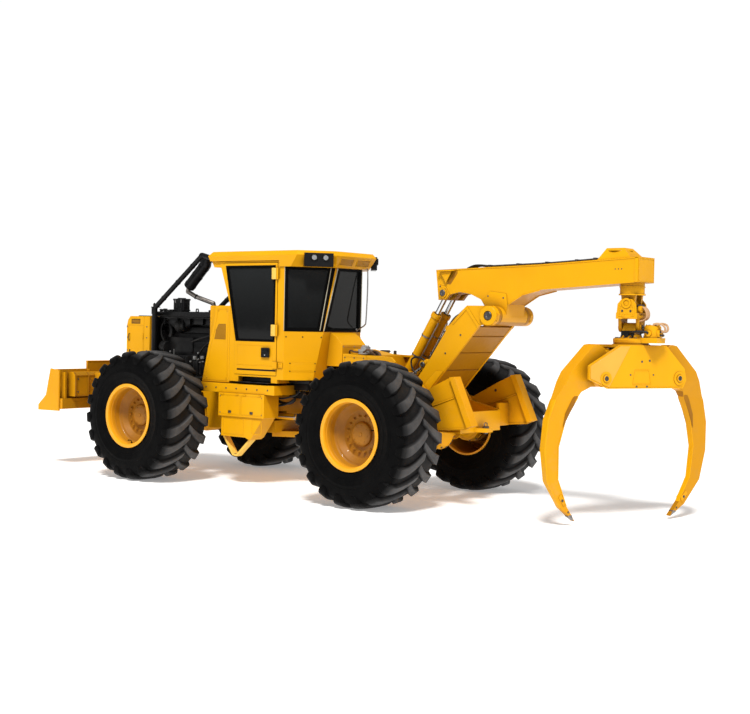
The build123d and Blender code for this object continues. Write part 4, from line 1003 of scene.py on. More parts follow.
def cab_inside():
    lin = Piece("headliner", "front_frame", PLASTIC, "console_plastic")
    lin.box(-420, 930, -690, 690, 2990, 3012, 8)
    lin.done()
    p = Piece("seat_shell", "front_frame", PLASTIC, "console_plastic")
    p.prism([(-250, 1742), (250, 1742), (262, 1770), (250, 1790), (-262, 1790), (-300, 1850), (-385, 2480), (-402, 2480), (-330, 1840), (-285, 1760)], "y", -232, 232, 8)
    p.box(-150, 150, -140, 140, 1490, 1560, 10)
    for k in range(7):
        z = 1560 + k * 26
        p.box(-128 + 4 * (k % 2), 128 - 4 * (k % 2), -118, 118, z, z + 22, 8)
    for s in (1, -1):
        p.tube([(-250, s * 250, 2010), (-225, s * 262, 2030), (-120, s * 268, 2040), (60, s * 268, 2040)], 18, 12, 6)
    p.done()
    p = Piece("joysticks", "front_frame", BLACK, "black_paint")
    for s in (1, -1):
        p.tube([(240, s * 345, 1950), (256, s * 345, 2030), (270, s * 345, 2100)], [9 if i < 9 else 17 for i in range(17)], 14, 8)
        p.cyl((266, s * 345, 2088), (274, s * 345, 2126), 24, 20, 10)
        p.lathe([(34, -4), (30, 10), (20, 20), (12, 40), (0, 40), (0, -4)], (244, s * 345, 1962), (0.15, 0, 1), seg=28)
    p.tube([(640, 0, 2240), (560, 0, 2300)], 22, 14, 4)
    q = Vector((0.6, 0, -0.8)).normalized()
    ringpts = []
    ux, uy = Vector((0.8, 0, 0.6)), Vector((0, 1, 0))
    c = Vector((548, 0, 2310))
    rings = []
    for k in range(40):
        a = 2 * math.pi * k / 40
        rad = ux * math.cos(a) + uy * math.sin(a)
        o = c + rad * 170
        rings.append([o + (rad * math.cos(b) + q * math.sin(b)) * 13 for b in [2 * math.pi * j / 10 for j in range(10)]])
    bm = bmesh.new()
    rows = [[bm.verts.new(v) for v in r] for r in rings]
    for i in range(40):
        for j in range(10):
            bm.faces.new((rows[i][j], rows[i][(j + 1) % 10], rows[(i + 1) % 40][(j + 1) % 10], rows[(i + 1) % 40][j]))
    bmesh.ops.recalc_face_normals(bm, faces=bm.faces)
    p.take(bm)
    for a in (90, 210, 330):
        rad = ux * math.cos(math.radians(a)) + uy * math.sin(math.radians(a))
        p.tube([c, c + rad * 165], 9, 10, 4)
    p.done()
    m = Piece("monitor", "front_frame", PLASTIC, "console_plastic")
    m.box(585, 610, -470, -300, 2150, 2280, 8)
    m.tube([(600, -385, 2160), (640, -385, 2120), (680, -385, 2060)], 10, 10, 4)
    m.done()
    m = Piece("monitor_face", "front_frame", GLASS)
    m.box(582.5, 585.5, -458, -312, 2162, 2268, 1)
    m.done()


def cushion(name, place, sx, sy, h, crown, groove=()):
    """A stuffed pad: its top crowned, its rim rolled, with stitched grooves across. place maps (u, v, w) to the machine."""
    nu, nv = 28, 28
    bm = bmesh.new()

    def top(u, v):
        e = (1 - abs(u) ** 5) ** 0.5 * (1 - abs(v) ** 5) ** 0.5
        w = h * e + crown * (1 - u * u) * (1 - v * v)
        for gu in groove:
            w -= 9.0 * math.exp(-((u - gu) / 0.035) ** 2) * e
        return w
    grid = [[bm.verts.new(place(sx * u, sy * v, top(u, v))) for v in [-1 + 2 * j / nv for j in range(nv + 1)]] for u in [-1 + 2 * i / nu for i in range(nu + 1)]]
    base = [[bm.verts.new(place(sx * u, sy * v, -h * 0.25 * (1 - abs(u) ** 5) ** 0.5 * (1 - abs(v) ** 5) ** 0.5)) if 0 < i < nu and 0 < j < nv else None
             for j, v in enumerate([-1 + 2 * j / nv for j in range(nv + 1)])] for i, u in enumerate([-1 + 2 * i / nu for i in range(nu + 1)])]
    for i in range(nu + 1):
        for j in range(nv + 1):
            if base[i][j] is None:
                base[i][j] = grid[i][j]
    for i in range(nu):
        for j in range(nv):
            bm.faces.new((grid[i][j], grid[i + 1][j], grid[i + 1][j + 1], grid[i][j + 1]))
            q = (base[i][j], base[i][j + 1], base[i + 1][j + 1], base[i + 1][j])
            bm.faces.new(q)
    bmesh.ops.recalc_face_normals(bm, faces=bm.faces)
    p = Piece(name, "front_frame", CLOTH, "seat_cloth", 70)
    p.take(bm)
    o = p.done()
    return o


def cab_seat():
    a = cushion("seat_cushion", lambda u, v, w: (8 + u, v, 1796 + w), 246, 228, 62, 22, (-0.35, 0.4))
    lean = Vector((-90, 0, 640)).normalized()
    face = Vector((lean.z, 0, -lean.x))
    b = cushion("seat_back_cushion", lambda u, v, w: tuple(Vector((-306, 0, 2165)) + lean * u + Vector((0, v, 0)) + face * w), 300, 214, 58, 20, (-0.3, 0.1, 0.5))
    c = cushion("seat_headrest", lambda u, v, w: tuple(Vector((-362, 0, 2560)) + lean * u + Vector((0, v, 0)) + face * w), 80, 130, 44, 14)
    for o in (a,):
        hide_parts("operator_seat")
    p = Piece("headrest_posts", "front_frame", STEEL)
    for y in (-50, 50):
        p.cyl((-386, y, 2460), (-372, y, 2560), 7, 12, 1)
    p.done()
    for s, nm in ((1, "left"), (-1, "right")):
        cushion("armrest_pad_" + nm, lambda u, v, w, s=s: (-30 + u, s * 345 + v, 1962 + w), 130, 50, 30, 8)
    return a, b, c


cab_glazing()
cab_door_trim()
cab_step_pocket()
cab_rear_parts()
cab_roof_parts()
cab_inside()
cab_seat()
# ------------------------------------------------------------ engine bay
def pin_cap(p, c, n, r, keeper=True, h=14.0):
    """The end of a pin: a turned cap with a grease nipple and, with keeper, two keeper bolts."""
    c, n = Vector(c), Vector(n).normalized()
    p.lathe([(0, -2), (r, -2), (r, h - 4), (r - 5, h), (r * 0.45, h), (r * 0.38, h - 3), (0, h - 3)], c, n, seg=36, closed=False)
    p.cyl(c + n * (h - 4), c + n * (h + 5), 5, 10, 1)
    if keeper:
        side = n.cross(Vector((0, 0, 1)))
        side = side.normalized() if side.length > 1e-3 else Vector((1, 0, 0))
        for k in (-1, 1):
            p.bolt(c + side * k * r * 0.70 + n * (h - 3), n, max(5.0, r * 0.14), 6)
    return p


def cyl_trim(name, body_b, body_r, base, eye, ys, r, shorten, base_r, eye_r, rod_r, z=None, margin=15.0, mat=None):
    """Gland nut, base weld, ports and hard pipes of the cylinders between a base pin and a rod eye."""
    mat = mat or YELLOW
    L = math.hypot(eye[0] - base[0], eye[1] - base[1])
    ux, uz = (eye[0] - base[0]) / L, (eye[1] - base[1]) / L
    end = L - shorten - eye_r - margin
    b = Piece(name + "_glands", body_b, mat, "yellow_paint")
    s = Piece(name + "_pipes", body_b, STEEL)
    w = Piece(name + "_rod_wipers", body_b, GASKET)
    e = Piece(name + "_rod_welds", body_r, mat, "yellow_paint")
    for y in ys:
        def P(t, out=0.0, a=0.0):
            """A point t along, out from the centre line; a = 0 sideways, 90 up in the cylinder's own plane."""
            ca, sa = math.cos(math.radians(a)), math.sin(math.radians(a))
            if z is None:
                return Vector((base[0] + ux * t - uz * out * sa, y + out * ca, base[1] + uz * t + ux * out * sa))
            return Vector((base[0] + ux * t - uz * out * ca, base[1] + uz * t + ux * out * ca, z + out * sa))
        d = P(1) - P(0)
        b.lathe([(r * 1.02, 0), (r * 1.17, 2), (r * 1.19, 26), (r * 1.17, 50), (r * 1.02, 53)], P(end - 58), d, seg=36)
        for k in range(6):
            q = 60 * k + 15
            b.cyl(P(end - 4, r * 0.84, q), P(end + 5, r * 0.84, q), 7, 6, 1)
        b.lathe([(r * 0.98, -9), (r * 1.07, -3), (r * 1.07, 3), (r * 0.98, 9)], P(base_r + 20), d, seg=36)
        w.lathe([(rod_r * 0.98, -4), (rod_r * 1.35, -4), (rod_r * 1.28, 5), (rod_r * 1.08, 8), (rod_r * 0.98, 8)], P(end), d, seg=30)
        sg = 90 if z is None else (180 if base[1] > 0 else 0)
        for t in (base_r + 52, end - 92):
            b.box(*[v for a_, b_ in zip(P(t, r * 0.9, sg) - Vector((15, 15, 15)), P(t, r * 0.9, sg) + Vector((15, 15, 15))) for v in (a_, b_)], 4)
        s.tube([P(end - 92, r + 8, sg), P(end - 112, r + 20, sg), P(end - 160, r + 19, sg), P(base_r + 150, r + 19, sg), P(base_r + 110, r + 20, sg), P(base_r + 82, r + 14, sg)], 7.5, 10, 4)
        for t in ((0.40, 0.68) if z is None else (0.82,)):
            tt = base_r + (end - base_r) * t
            s.lathe([(r * 1.0, -9), (r * 1.07, -9), (r * 1.07, 9), (r * 1.0, 9)], P(tt), d, seg=32)
        e.lathe([(rod_r * 0.99, 0), (rod_r * 1.10, 0), (rod_r * 1.28, 9), (rod_r * 0.99, 9)], P(L - eye_r - 3), d, seg=30)
    b.done(); s.done(); w.done(); e.done()


def engine_bay():
    p = Piece("engine_castings", "front_frame", ENGINE, "engine_black")
    # block, head, rocker covers and front timing case
    p.box(1500, 2600, -300, 300, 1880, 2020, 10)
    for k in range(6):
        x = 1560 + 170 * k
        p.box(x, x + 140, -150, 120, 2010, 2140, 16, 3)
        p.box(x + 10, x + 130, 328, 352, 1560, 1700, 8)
        p.cyl((x + 70, 330, 1500), (x + 70, 362, 1500), 38, 24, 5)
    p.box(1520, 2560, 150, 300, 2018, 2120, 22, 3)
    p.box(1520, 2560, 326, 345, 1740, 1880, 8)
    p.box(2560, 2645, -360, 360, 1400, 2060, 14)
    # turbo and intake elbow
    p.lathe([(0, -60), (70, -60), (108, -30), (112, 10), (90, 46), (52, 62), (0, 62)], (2240, 330, 2130), (1, 0, 0), seg=40, closed=False)
    p.lathe([(0, 0), (84, 0), (96, 24), (88, 56), (54, 70), (0, 70)], (2116, 330, 2130), (1, 0, 0), seg=40, closed=False)
    p.tube([(2110, 330, 2130), (2030, 330, 2180), (1960, 320, 2250), (1900, 300, 2275)], 50, 18, 6)
    p.tube([(2310, 330, 2130), (2380, 330, 2160), (2420, 300, 2230), (2400, 265, 2320)], 54, 18, 6)
    # alternator, oil filters, coolers and brackets on the left side
    p.lathe([(0, 0), (74, 0), (80, 12), (80, 100), (70, 116), (30, 122), (0, 122)], (2440, 400, 1820), (1, 0, 0), seg=36, closed=False)
    p.box(1500, 1620, 330, 420, 1480, 1560, 12)
    for x in (1700, 1830):
        p.lathe([(0, 0), (50, 0), (56, 10), (56, 190), (44, 214), (0, 214)], (x, 400, 1440), (0, 0, 1), seg=32, closed=False)
        p.box(x - 50, x + 50, 330, 440, 1650, 1712, 10)
    p.box(2000, 2300, 330, 430, 1480, 1700, 14, 3)
    for k in range(7):
        p.box(2010 + 41 * k, 2022 + 41 * k, 426, 440, 1496, 1684, 3)
    p.box(1960, 2420, 330, 362, 1740, 1960, 10)
    p.box(1340, 1480, -420, 420, 1368, 1900, 16, 3)
    p.lathe([(0, 0), (150, 0), (150, 60), (120, 90), (0, 90)], (1400, 0, 1700), (1, 0, 0), seg=40, closed=False)
    # right side the same way, with the starter and the hydraulic pumps
    for k in range(6):
        x = 1560 + 170 * k
        p.box(x + 10, x + 130, -352, -328, 1560, 1700, 8)
    p.lathe([(0, 0), (60, 0), (66, 10), (66, 240), (40, 260), (0, 260)], (1560, -400, 1500), (1, 0, 0), seg=32, closed=False)
    p.box(2000, 2420, -420, -330, 1520, 1760, 14, 3)
    p.done()
    # shroud and its ring behind the radiator
    s = Piece("fan_shroud", "front_frame", BLACK, "black_paint")
    s.box(2644, 2682, -485, 485, 1345, 2252, 12)
    s.lathe([(330, 0), (352, 0), (366, -44), (352, -50), (330, -50)], (2650, 0, 1780), (1, 0, 0), seg=64)
    s.done()
    # skins under the hood plate that close the bay's top and its far side
    q = Piece("hood_underside_skins", "front_frame", BLACK, "black_paint")
    q.box(1390, 2590, -470, -452, 1420, 2262, 6)
    q.box(1386, 2590, 372, 384, 2150, 2262, 5)
    for k in range(5):
        q.box(1440 + 260 * k, 1452 + 260 * k, 384, 424, 2150, 2262, 2)
    q.box(1332, 1346, -455, 455, 1370, 2262, 4)
    q.box(1400, 2590, -450, 430, 2236, 2262, 6)
    q.done()
    # hoses and harness
    h = Piece("engine_hoses", "front_frame", HOSE)
    h.tube([(2650, 250, 2120), (2560, 300, 2170), (2470, 330, 2150), (2420, 345, 2060), (2430, 360, 1960)], 30, 14, 7)
    h.tube([(2650, 200, 1500), (2560, 330, 1460), (2460, 410, 1440), (2330, 420, 1430), (2180, 400, 1440)], 32, 14, 7)
    h.tube([(1350, 330, 2060), (1430, 400, 2040), (1560, 430, 1990), (1700, 430, 1960), (1830, 415, 1930), (1960, 380, 1900)], 15, 10, 7)
    h.tube([(1350, 300, 1980), (1440, 420, 1950), (1580, 445, 1880), (1690, 440, 1800), (1765, 420, 1730), (1830, 400, 1712)], 13, 10, 7)
    h.tube([(1350, 360, 1900), (1420, 440, 1860), (1500, 452, 1760), (1540, 440, 1640), (1560, 410, 1560)], 13, 10, 7)
    h.tube([(1350, 400, 1800), (1420, 455, 1740), (1480, 460, 1600), (1560, 450, 1450), (1700, 430, 1400), (1900, 430, 1385)], 16, 10, 7)
    h.tube([(2480, 440, 1900), (2520, 450, 2000), (2540, 430, 2110), (2500, 400, 2200), (2400, 390, 2240)], 9, 8, 7)
    h.tube([(2300, 440, 1690), (2380, 455, 1720), (2470, 460, 1640), (2560, 440, 1500), (2640, 400, 1440)], 12, 10, 7)
    for k in range(3):
        h.tube([(1350, -200 - 60 * k, 2000 - 60 * k), (1440, -330, 1950 - 60 * k), (1600, -420, 1860 - 60 * k), (1900, -430, 1700 - 40 * k), (2050, -420, 1640)], 14, 10, 7)
    h.done()
    # bright bits: filter heads, clamps, fittings and the dipstick
    b = Piece("engine_fittings", "front_frame", ALLOY)
    b.box(1640, 1700, 440, 462, 1660, 1704, 5)
    b.box(1790, 1850, 440, 462, 1650, 1700, 5)
    for c in ((2420, 352, 1750), (2350, 446, 1600), (1765, 430, 1745), (1905, 440, 1620), (1540, 452, 1640), (2180, 446, 1560)):
        b.cyl(c, (c[0], c[1] + 20, c[2]), 14, 6, 2)
    for x in (1640, 1700, 1740, 2060):
        b.cyl((x, 452, 1600 + (x % 70)), (x + 26, 458, 1588 + (x % 70)), 9, 8, 2)
    b.lathe([(56.5, 0), (59, 0), (59, 14), (56.5, 14)], (2400, 265, 2300), (0, 0, 1), seg=32)
    b.lathe([(30, -8), (34, -8), (34, 8), (30, 8)], (2640, 205, 1500), (1, 0.2, 0), seg=28)
    b.tube([(2240, 445, 1560), (2245, 455, 1700), (2250, 452, 1790)], 5, 8, 5)
    b.done()


def engine_top():
    # air cleaner: body bands, lid, latches and pre-cleaner
    p = Piece("air_cleaner_details", "front_frame", BLACK, "black_paint")
    p.box(2186, 2414, 196, 334, 2494, 2521, 6)
    p.box(2186, 2414, 196, 334, 2340, 2362, 5)
    for x in (2215, 2262, 2309, 2356):
        p.box(x, x + 22, 329, 336, 2372, 2484, 4)
    for z in (2396, 2424, 2452):
        p.box(2184, 2191, 214, 316, z, z + 14, 3)
    p.cyl((2300, 265, 2519), (2300, 265, 2533), 62, 36, 5)
    p.done()
    q = Piece("air_cleaner_latches", "front_frame", STEEL)
    for x in (2240, 2360):
        q.box(x - 8, x + 8, 333, 340, 2470, 2510, 2)
        q.box(x - 11, x + 11, 333, 338, 2462, 2472, 2)
    q.done()
    # hood plate: seams, lifting eyes, cap and small fittings by the risers
    s = Piece("hood_plate_details", "front_frame", BLACK, "black_paint")
    s.box(1400, 2100, -470, -60, 2329, 2334, 2)
    s.box(1400, 1620, 20, 470, 2329, 2334, 2)
    s.box(2100, 2600, -470, 150, 2329, 2335, 2)
    for x in (1780, 2140):
        s.ring([(x - 34, 2326), (x + 34, 2326), (x + 24, 2378), (x - 24, 2378)], [(x - 14, 2336), (x + 14, 2336), (x + 11, 2362), (x - 11, 2362)], lambda u, v, a: (u, 452 + a, v), 0, 12, 2)
    for x, y, r, h in ((2330, 430, 30, 34), (2520, 380, 24, 46), (2575, 420, 16, 40), (1500, 400, 36, 60), (1560, 330, 26, 44), (2440, 470, 18, 28), (1440, -300, 40, 40)):
        s.lathe([(0, 0), (r, 0), (r, h * 0.7), (r * 1.25, h * 0.72), (r * 1.25, h), (0, h)], (x, y, 2328), (0, 0, 1), seg=28, closed=False)
    # louvres along the hood's edge
    for k in range(16):
        x = 1450 + 68 * k
        s.box(x, x + 46, 499, 504, 2274, 2284, 2)
        s.box(x, x + 46, 499, 504, 2298, 2308, 2)
    s.box(2430, 2510, 560, 676, 2384, 2396, 3)
    s.cyl((2470, 640, 2290), (2470, 640, 2396), 44, 30, 4)
    s.tube([(2470, 640, 2440), (2530, 600, 2420), (2560, 540, 2360), (2570, 500, 2320)], 12, 10, 5)
    s.done()
    h = Piece("hood_hoses", "front_frame", HOSE)
    h.tube([(2640, 300, 2270), (2600, 380, 2345), (2520, 420, 2352), (2440, 400, 2345), (2380, 340, 2345)], 15, 10, 7)
    h.tube([(1345, 330, 2300), (1420, 360, 2352), (1530, 390, 2356), (1640, 360, 2345)], 13, 10, 7)
    h.done()
    # exhaust: clamps and a grey weathered outlet
    m = Piece("exhaust_clamps", "front_frame", BLACK, "black_paint")
    a, b = Vector((1980, 430, 2690)), Vector((1660, 430, 3000))
    d = (b - a).normalized()
    for t in (40, 220, 400):
        c = a + d * t
        m.lathe([(81.5, -13), (85.5, -13), (85.5, 13), (81.5, 13)], c, d, seg=44)
        m.box(c.x - 10, c.x + 10, c.y + 82, c.y + 96, c.z - 12, c.z + 12, 2)
    m.lathe([(33, -8), (38, -8), (38, 8), (33, 8)], (1940, 330, 2550), (0.5, 0.3, 0.35), seg=30)
    m.done()
    c = Piece("exhaust_outlet", "front_frame", HEAT_STEEL, "exhaust_steel")
    c.lathe([(62, 0), (76, 0), (78, -8), (83, -8), (83, -40), (78, -42), (62, -42)], (1640, 430, 3128), (0, 0, 1), seg=48)
    c.lathe([(0, -10), (64, -10), (64, -14), (0, -14)], (1640, 430, 3128), (0, 0, 1), seg=48, closed=False)
    c.done()
    # risers: foot bolts, joints and the limb guard's cross rod
    r = Piece("riser_details", "front_frame", BLACK, "black_paint")
    for s_ in (1, -1):
        for x, y in ((2424, 574), (2424, 655), (2516, 574), (2516, 655)):
            r.bolt((x, s_ * y, 1384), (0, 0, 1), 9, 9)
        r.lathe([(36, -22), (43, -22), (43, 22), (36, 22)], (2470, s_ * 640, 1450), (0, 0, 1), seg=30)
        r.lathe([(36, -16), (44, -16), (44, 16), (36, 16)], (1500, s_ * 659.8, 3113), (-0.79, 0.01, 0.61), seg=30)
        r.cyl((1240, s_ * 700, 3066), (1218, s_ * 703, 3054), 52, 30, 4)
        for k in range(3):
            a = Vector((2470, s_ * 640, 2370)).lerp(Vector((1490, s_ * 660, 3122)), 0.2 + 0.3 * k)
            r.lathe([(36, -8), (40, -8), (40, 8), (36, 8)], a, (-0.79, 0.016 * s_, 0.61), seg=28)
    r.done()


def radiator_parts():
    y = Piece("radiator_trim", "front_frame", YELLOW, "yellow_paint")
    g = Piece("radiator_grille", "front_frame", BLACK, "black_paint")
    k = Piece("radiator_core", "front_frame", ENGINE, "engine_black")
    k.box(3152, 3160, -428, 428, 1422, 2058, 1)
    for i in range(19):
        z = 1432 + 33 * i
        g.prism([(3160, z), (3182, z + 6), (3184, z + 10), (3162, z + 5)], "y", -428, 428, 0.6, 1)
    for i in range(6):
        yy = -360 + 144 * i
        g.box(3164, 3174, yy - 4, yy + 4, 1422, 2058, 1)
    for s in (1, -1):
        put = lambda u, v, a, s=s: (u, s * (530 + a), v)
        # side door seam, recess, hinges and a handle
        y.ring([(2824, 1350), (3150, 1350), (3150, 2125), (2824, 2125)], [(2832, 1358), (3142, 1358), (3142, 2117), (2832, 2117)], put, -2, 2.5, 1)
        y.box(2806, 2816, s * 528, s * 533, 1340, 2250, 1)
        y.box(2684, 2694, s * 528, s * 533, 1340, 2250, 1)
        for z in (1500, 1960):
            y.cyl((2826, s * 534, z - 40), (2826, s * 534, z + 40), 8, 14, 2)
        g.ring([(2890, 2145), (3077, 2145), (3077, 2213), (2890, 2213)], [(2898, 2153), (3069, 2153), (3069, 2205), (2898, 2205)], put, -1, 2.5, 1)
        g.tube([put(3120, 1990, 0), put(3120, 1990, 16), put(3120, 1900, 16), put(3120, 1900, 0)], 5, 8, 3)
        g.box(3098, 3120, s * 529, s * 538, 1720, 1760, 3)
    # cap plate and front lip
    g.box(2690, 2960, -500, 500, 2253, 2266, 4)
    y.box(3186, 3194, -470, 470, 1352, 1372, 2)
    y.box(3186, 3194, -470, 470, 2074, 2092, 2)
    y.box(3186, 3194, 452, 470, 1352, 2092, 2)
    y.box(3186, 3194, -470, -452, 1352, 2092, 2)
    y.done(); g.done(); k.done()
    # thin brown panels as painted shade in the side door recesses
    r = Piece("recess_shade_panels", "front_frame", GRILLE_BROWN)
    for s in (1, -1):
        r.box(2899, 3068, s * 529, s * 531, 2154, 2204, 0.5)
    r.done()
    b = Piece("radiator_bolts", "front_frame", DARK_STEEL)
    for s in (1, -1):
        for z in (1370, 1560, 1750, 1940, 2100):
            b.bolt((3168, s * 530, z), (0, s, 0), 8, 6)
            b.bolt((2748, s * 530, z), (0, s, 0), 8, 6)
    for yy in (-461, 461):
        for z in (1400, 1600, 1800, 2000):
            b.bolt((3194, yy, z), (1, 0, 0), 7, 5)
    b.cyl((2760, 200, 2262), (2760, 200, 2286), 44, 28, 4)
    b.cyl((2760, 200, 2284), (2760, 200, 2296), 30, 8, 2)
    b.done()
    # cowl: framed panel, its bolts, and the mesh window on the flank
    c = Piece("cowl_details", "front_frame", YELLOW, "yellow_paint")
    d = Piece("cowl_mesh_shade", "front_frame", GRILLE_BROWN)
    for s in (1, -1):
        put = lambda u, v, a, s=s: (u, s * (800 + a), v)
        c.ring([(838, 1400), (1272, 1400), (1238, 1560), (1160, 1880), (1082, 2130), (1040, 2380), (838, 2380)],
               [(848, 1410), (1260, 1410), (1228, 1557), (1150, 1877), (1072, 2127), (1031, 2370), (848, 2370)], put, -2, 3, 1.5)
        # dark plate behind the bars as painted shade in the mesh window
        d.plate([(880, 1960), (1092, 1960), (1062, 2090), (1010, 2170), (880, 2170)], put, -1, 2, 0.5)
        for k in range(9):
            c.box(896 + 21 * k, 899 + 21 * k, s * 800, s * 804, 1966, 2160 - max(0, (k - 5)) * 22, 0.6, 1)
        c.bolt(put(860, 1430, 0), (0, s, 0), 9, 6)
        c.bolt(put(1230, 1430, 0), (0, s, 0), 9, 6)
        c.bolt(put(860, 2350, 0), (0, s, 0), 9, 6)
        c.bolt(put(1020, 2350, 0), (0, s, 0), 9, 6)
    c.done(); d.done()


engine_bay()
engine_top()
radiator_parts()
# ------------------------------------------------------------ front frame, side boxes, blade
def side_box_parts():
    y = Piece("side_box_doors", "front_frame", YELLOW, "yellow_paint")
    f = Piece("side_box_fittings", "front_frame", DARK_STEEL)
    t = Piece("step_grips", "front_frame", STEEL)
    for s in (1, -1):
        put = lambda u, v, a, s=s: (u, s * (860 + a), v)
        y.ring([(128, 950), (516, 950), (516, 1214), (128, 1214)], [(136, 958), (508, 958), (508, 1206), (136, 1206)], put, -2, 3, 1.5)
        y.ring([(530, 950), (912, 950), (912, 1214), (530, 1214)], [(538, 958), (904, 958), (904, 1206), (538, 1206)], put, -2, 3, 1.5)
        y.box(106, 934, s * 700, s * 852, 1236, 1241, 2)
        for x in (180, 450, 590, 860):
            y.cyl((x - 26, s * 864, 1219), (x + 26, s * 864, 1219), 7, 12, 1.5)
        for x in (322, 720):
            f.box(x - 26, x + 26, s * 861, s * 867, 970, 1002, 3)
            f.cyl((x, s * 866, 986), (x, s * 873, 986), 11, 18, 2)
        for x in (150, 890):
            for z in (970, 1194):
                f.bolt((x - (12 if x < 500 else -12), s * 860, z), (0, s, 0), 7, 5)
        # bolts in the slot of the sill above the boxes
        for k in range(7):
            f.bolt((60 + 190 * k, s * 835, 1302), (0, s, 0), 9, 7)
        # steps: grip bars across the strap, and its bolts
        for k in range(5):
            t.box(655 + 11 * k, 660 + 11 * k, s * 704, s * 796, 411, 416, 1)
        for x0, z0 in ((884, 620), (402, 600)):
            for yy in (722, 778):
                t.bolt((x0, s * yy, z0 + (34 if x0 > 500 else 22)), (0, 0, 1), 8, 5)
        y.ring([(150, 700), (330, 700), (330, 900), (150, 900)], [(158, 708), (322, 708), (322, 892), (158, 892)], lambda u, v, a, s=s: (u, s * (840 + a), v), -2, 3, 1.5)
        y.ring([(480, 680), (860, 680), (860, 900), (480, 900)], [(488, 688), (852, 688), (852, 892), (488, 892)], lambda u, v, a, s=s: (u, s * (840 + a), v), -2, 3, 1.5)
    y.done(); f.done(); t.done()
    # black guards as painted shade between the cab's rear corner and the centre hinge, and the hoses there
    k = Piece("belly_shade_guards", "front_frame", BLACK, "black_paint")
    h = Piece("centre_hoses", "front_frame", HOSE)
    b = Piece("hinge_fittings", "front_frame", DARK_STEEL)
    for s in (1, -1):
        k.box(-296, 76, s * 431, s * 437, 1302, 1394, 1)
        k.prism([(-440, 300), (-300, 432), (-300, 438), (-446, 306)] if s > 0 else [(-440, -300), (-446, -306), (-300, -438), (-300, -432)], "z", 1302, 1394, 0.5, 1)
        k.box(-430, -30, s * 436, s * 560, 1402, 1446, 3)
        k.box(-236, 60, s * 300, s * 400, 1190, 1298, 6)
        h.tube([(300, s * 380, 1150), (200, s * 396, 1122), (110, s * 388, 1114), (30, s * 366, 1132), (0, s * 346, 1180), (4, s * 340, 1240)], 20, 12, 7)
        h.tube([(300, s * 350, 1060), (220, s * 420, 1078), (120, s * 432, 1096), (30, s * 412, 1132), (-20, s * 382, 1180), (-24, s * 372, 1240)], 16, 12, 7)
        h.tube([(320, s * 410, 1200), (220, s * 470, 1180), (60, s * 480, 1190), (-100, s * 440, 1240), (-140, s * 420, 1300)], 13, 12, 7)
        for q in range(3):
            b.cyl((-140 + 6 * q, s * (300 + 52 * q), 1296), (-140 + 6 * q, s * (300 + 52 * q), 1268), 22, 6, 3)
    # hinge pin caps with their keeper bolts
    for z, n in ((1281, 1), (FRONT_PIN_LOW, -1)):
        b.lathe([(0, 0), (92, 0), (92, 12), (84, 18), (0, 18)], (0, 0, z), (0, 0, n), seg=48, closed=False)
        for q in range(6):
            a = math.radians(60 * q)
            b.bolt((66 * math.cos(a), 66 * math.sin(a), z + n * 17), (0, 0, n), 9, 8)
    k.done(); h.done(); b.done()


FRONT_PIN_LOW = 560.0


def axle_parts(end, body, x0, fx):
    a = Piece(end + "_axle_details", body, YELLOW, "yellow_paint")
    f = Piece(end + "_axle_bolts", body, DARK_STEEL)
    h = Piece(end + "_brake_lines", body, HOSE)
    # differential cover, its bolts and ribs
    a.lathe([(0, 0), (210, 0), (236, -24), (250, -60), (0, -60)], (x0 + fx * 286, 0, 889), (fx, 0, 0), seg=56, closed=False)
    for k in range(14):
        q = 2 * math.pi * k / 14
        f.bolt((x0 + fx * 268, 226 * math.cos(q), 889 + 226 * math.sin(q)), (fx, 0, 0), 11, 12)
    for s in (1, -1):
        a.lathe([(132, 0), (176, 0), (176, 26), (132, 26)], (x0, s * 560, 889), (0, s, 0), seg=48)
        a.lathe([(200, 0), (222, 4), (222, 40), (200, 44)], (x0, s * 1000, 889), (0, s, 0), seg=56)
        for k in range(12):
            q = 2 * math.pi * k / 12
            f.bolt((x0 + 155 * math.cos(q), s * 586, 889 + 155 * math.sin(q)), (0, s, 0), 10, 9)
            f.bolt((x0 + 212 * math.cos(q), s * 999, 889 + 212 * math.sin(q)), (0, -s, 0), 9, 8)
        for dx in (-90, 90):
            a.box(x0 + dx - 14, x0 + dx + 14, s * 440, s * 470, 760, 1020, 5)
            f.cyl((x0 + dx * 1.35, s * 372, 720), (x0 + dx * 1.35, s * 372, 1060), 19, 16, 2)
            f.cyl((x0 + dx * 1.35, s * 372, 712), (x0 + dx * 1.35, s * 372, 738), 30, 6, 3)
        h.tube([(x0 - fx * 120, s * 120, 1140), (x0 - fx * 150, s * 300, 1090), (x0 - fx * 150, s * 560, 1040), (x0 - fx * 120, s * 800, 1030), (x0 - fx * 60, s * 940, 1085)], 9, 10, 7)
    a.cyl((x0, 0, 1165), (x0, 0, 1192), 26, 8, 3)
    a.done(); f.done(); h.done()


def drive_parts():
    d = Piece("drive_shaft_front", "front_frame", DARK_STEEL)
    d.cyl((300, 0, 889), (1560, 0, 889), 46, 28, 3)
    for x in (330, 1530):
        d.lathe([(46, -30), (84, -22), (84, 22), (46, 30)], (x, 0, 889), (1, 0, 0), seg=36)
        for k in range(6):
            q = 2 * math.pi * k / 6
            d.bolt((x + 22, 66 * math.cos(q), 889 + 66 * math.sin(q)), (1, 0, 0), 8, 8)
    d.done()


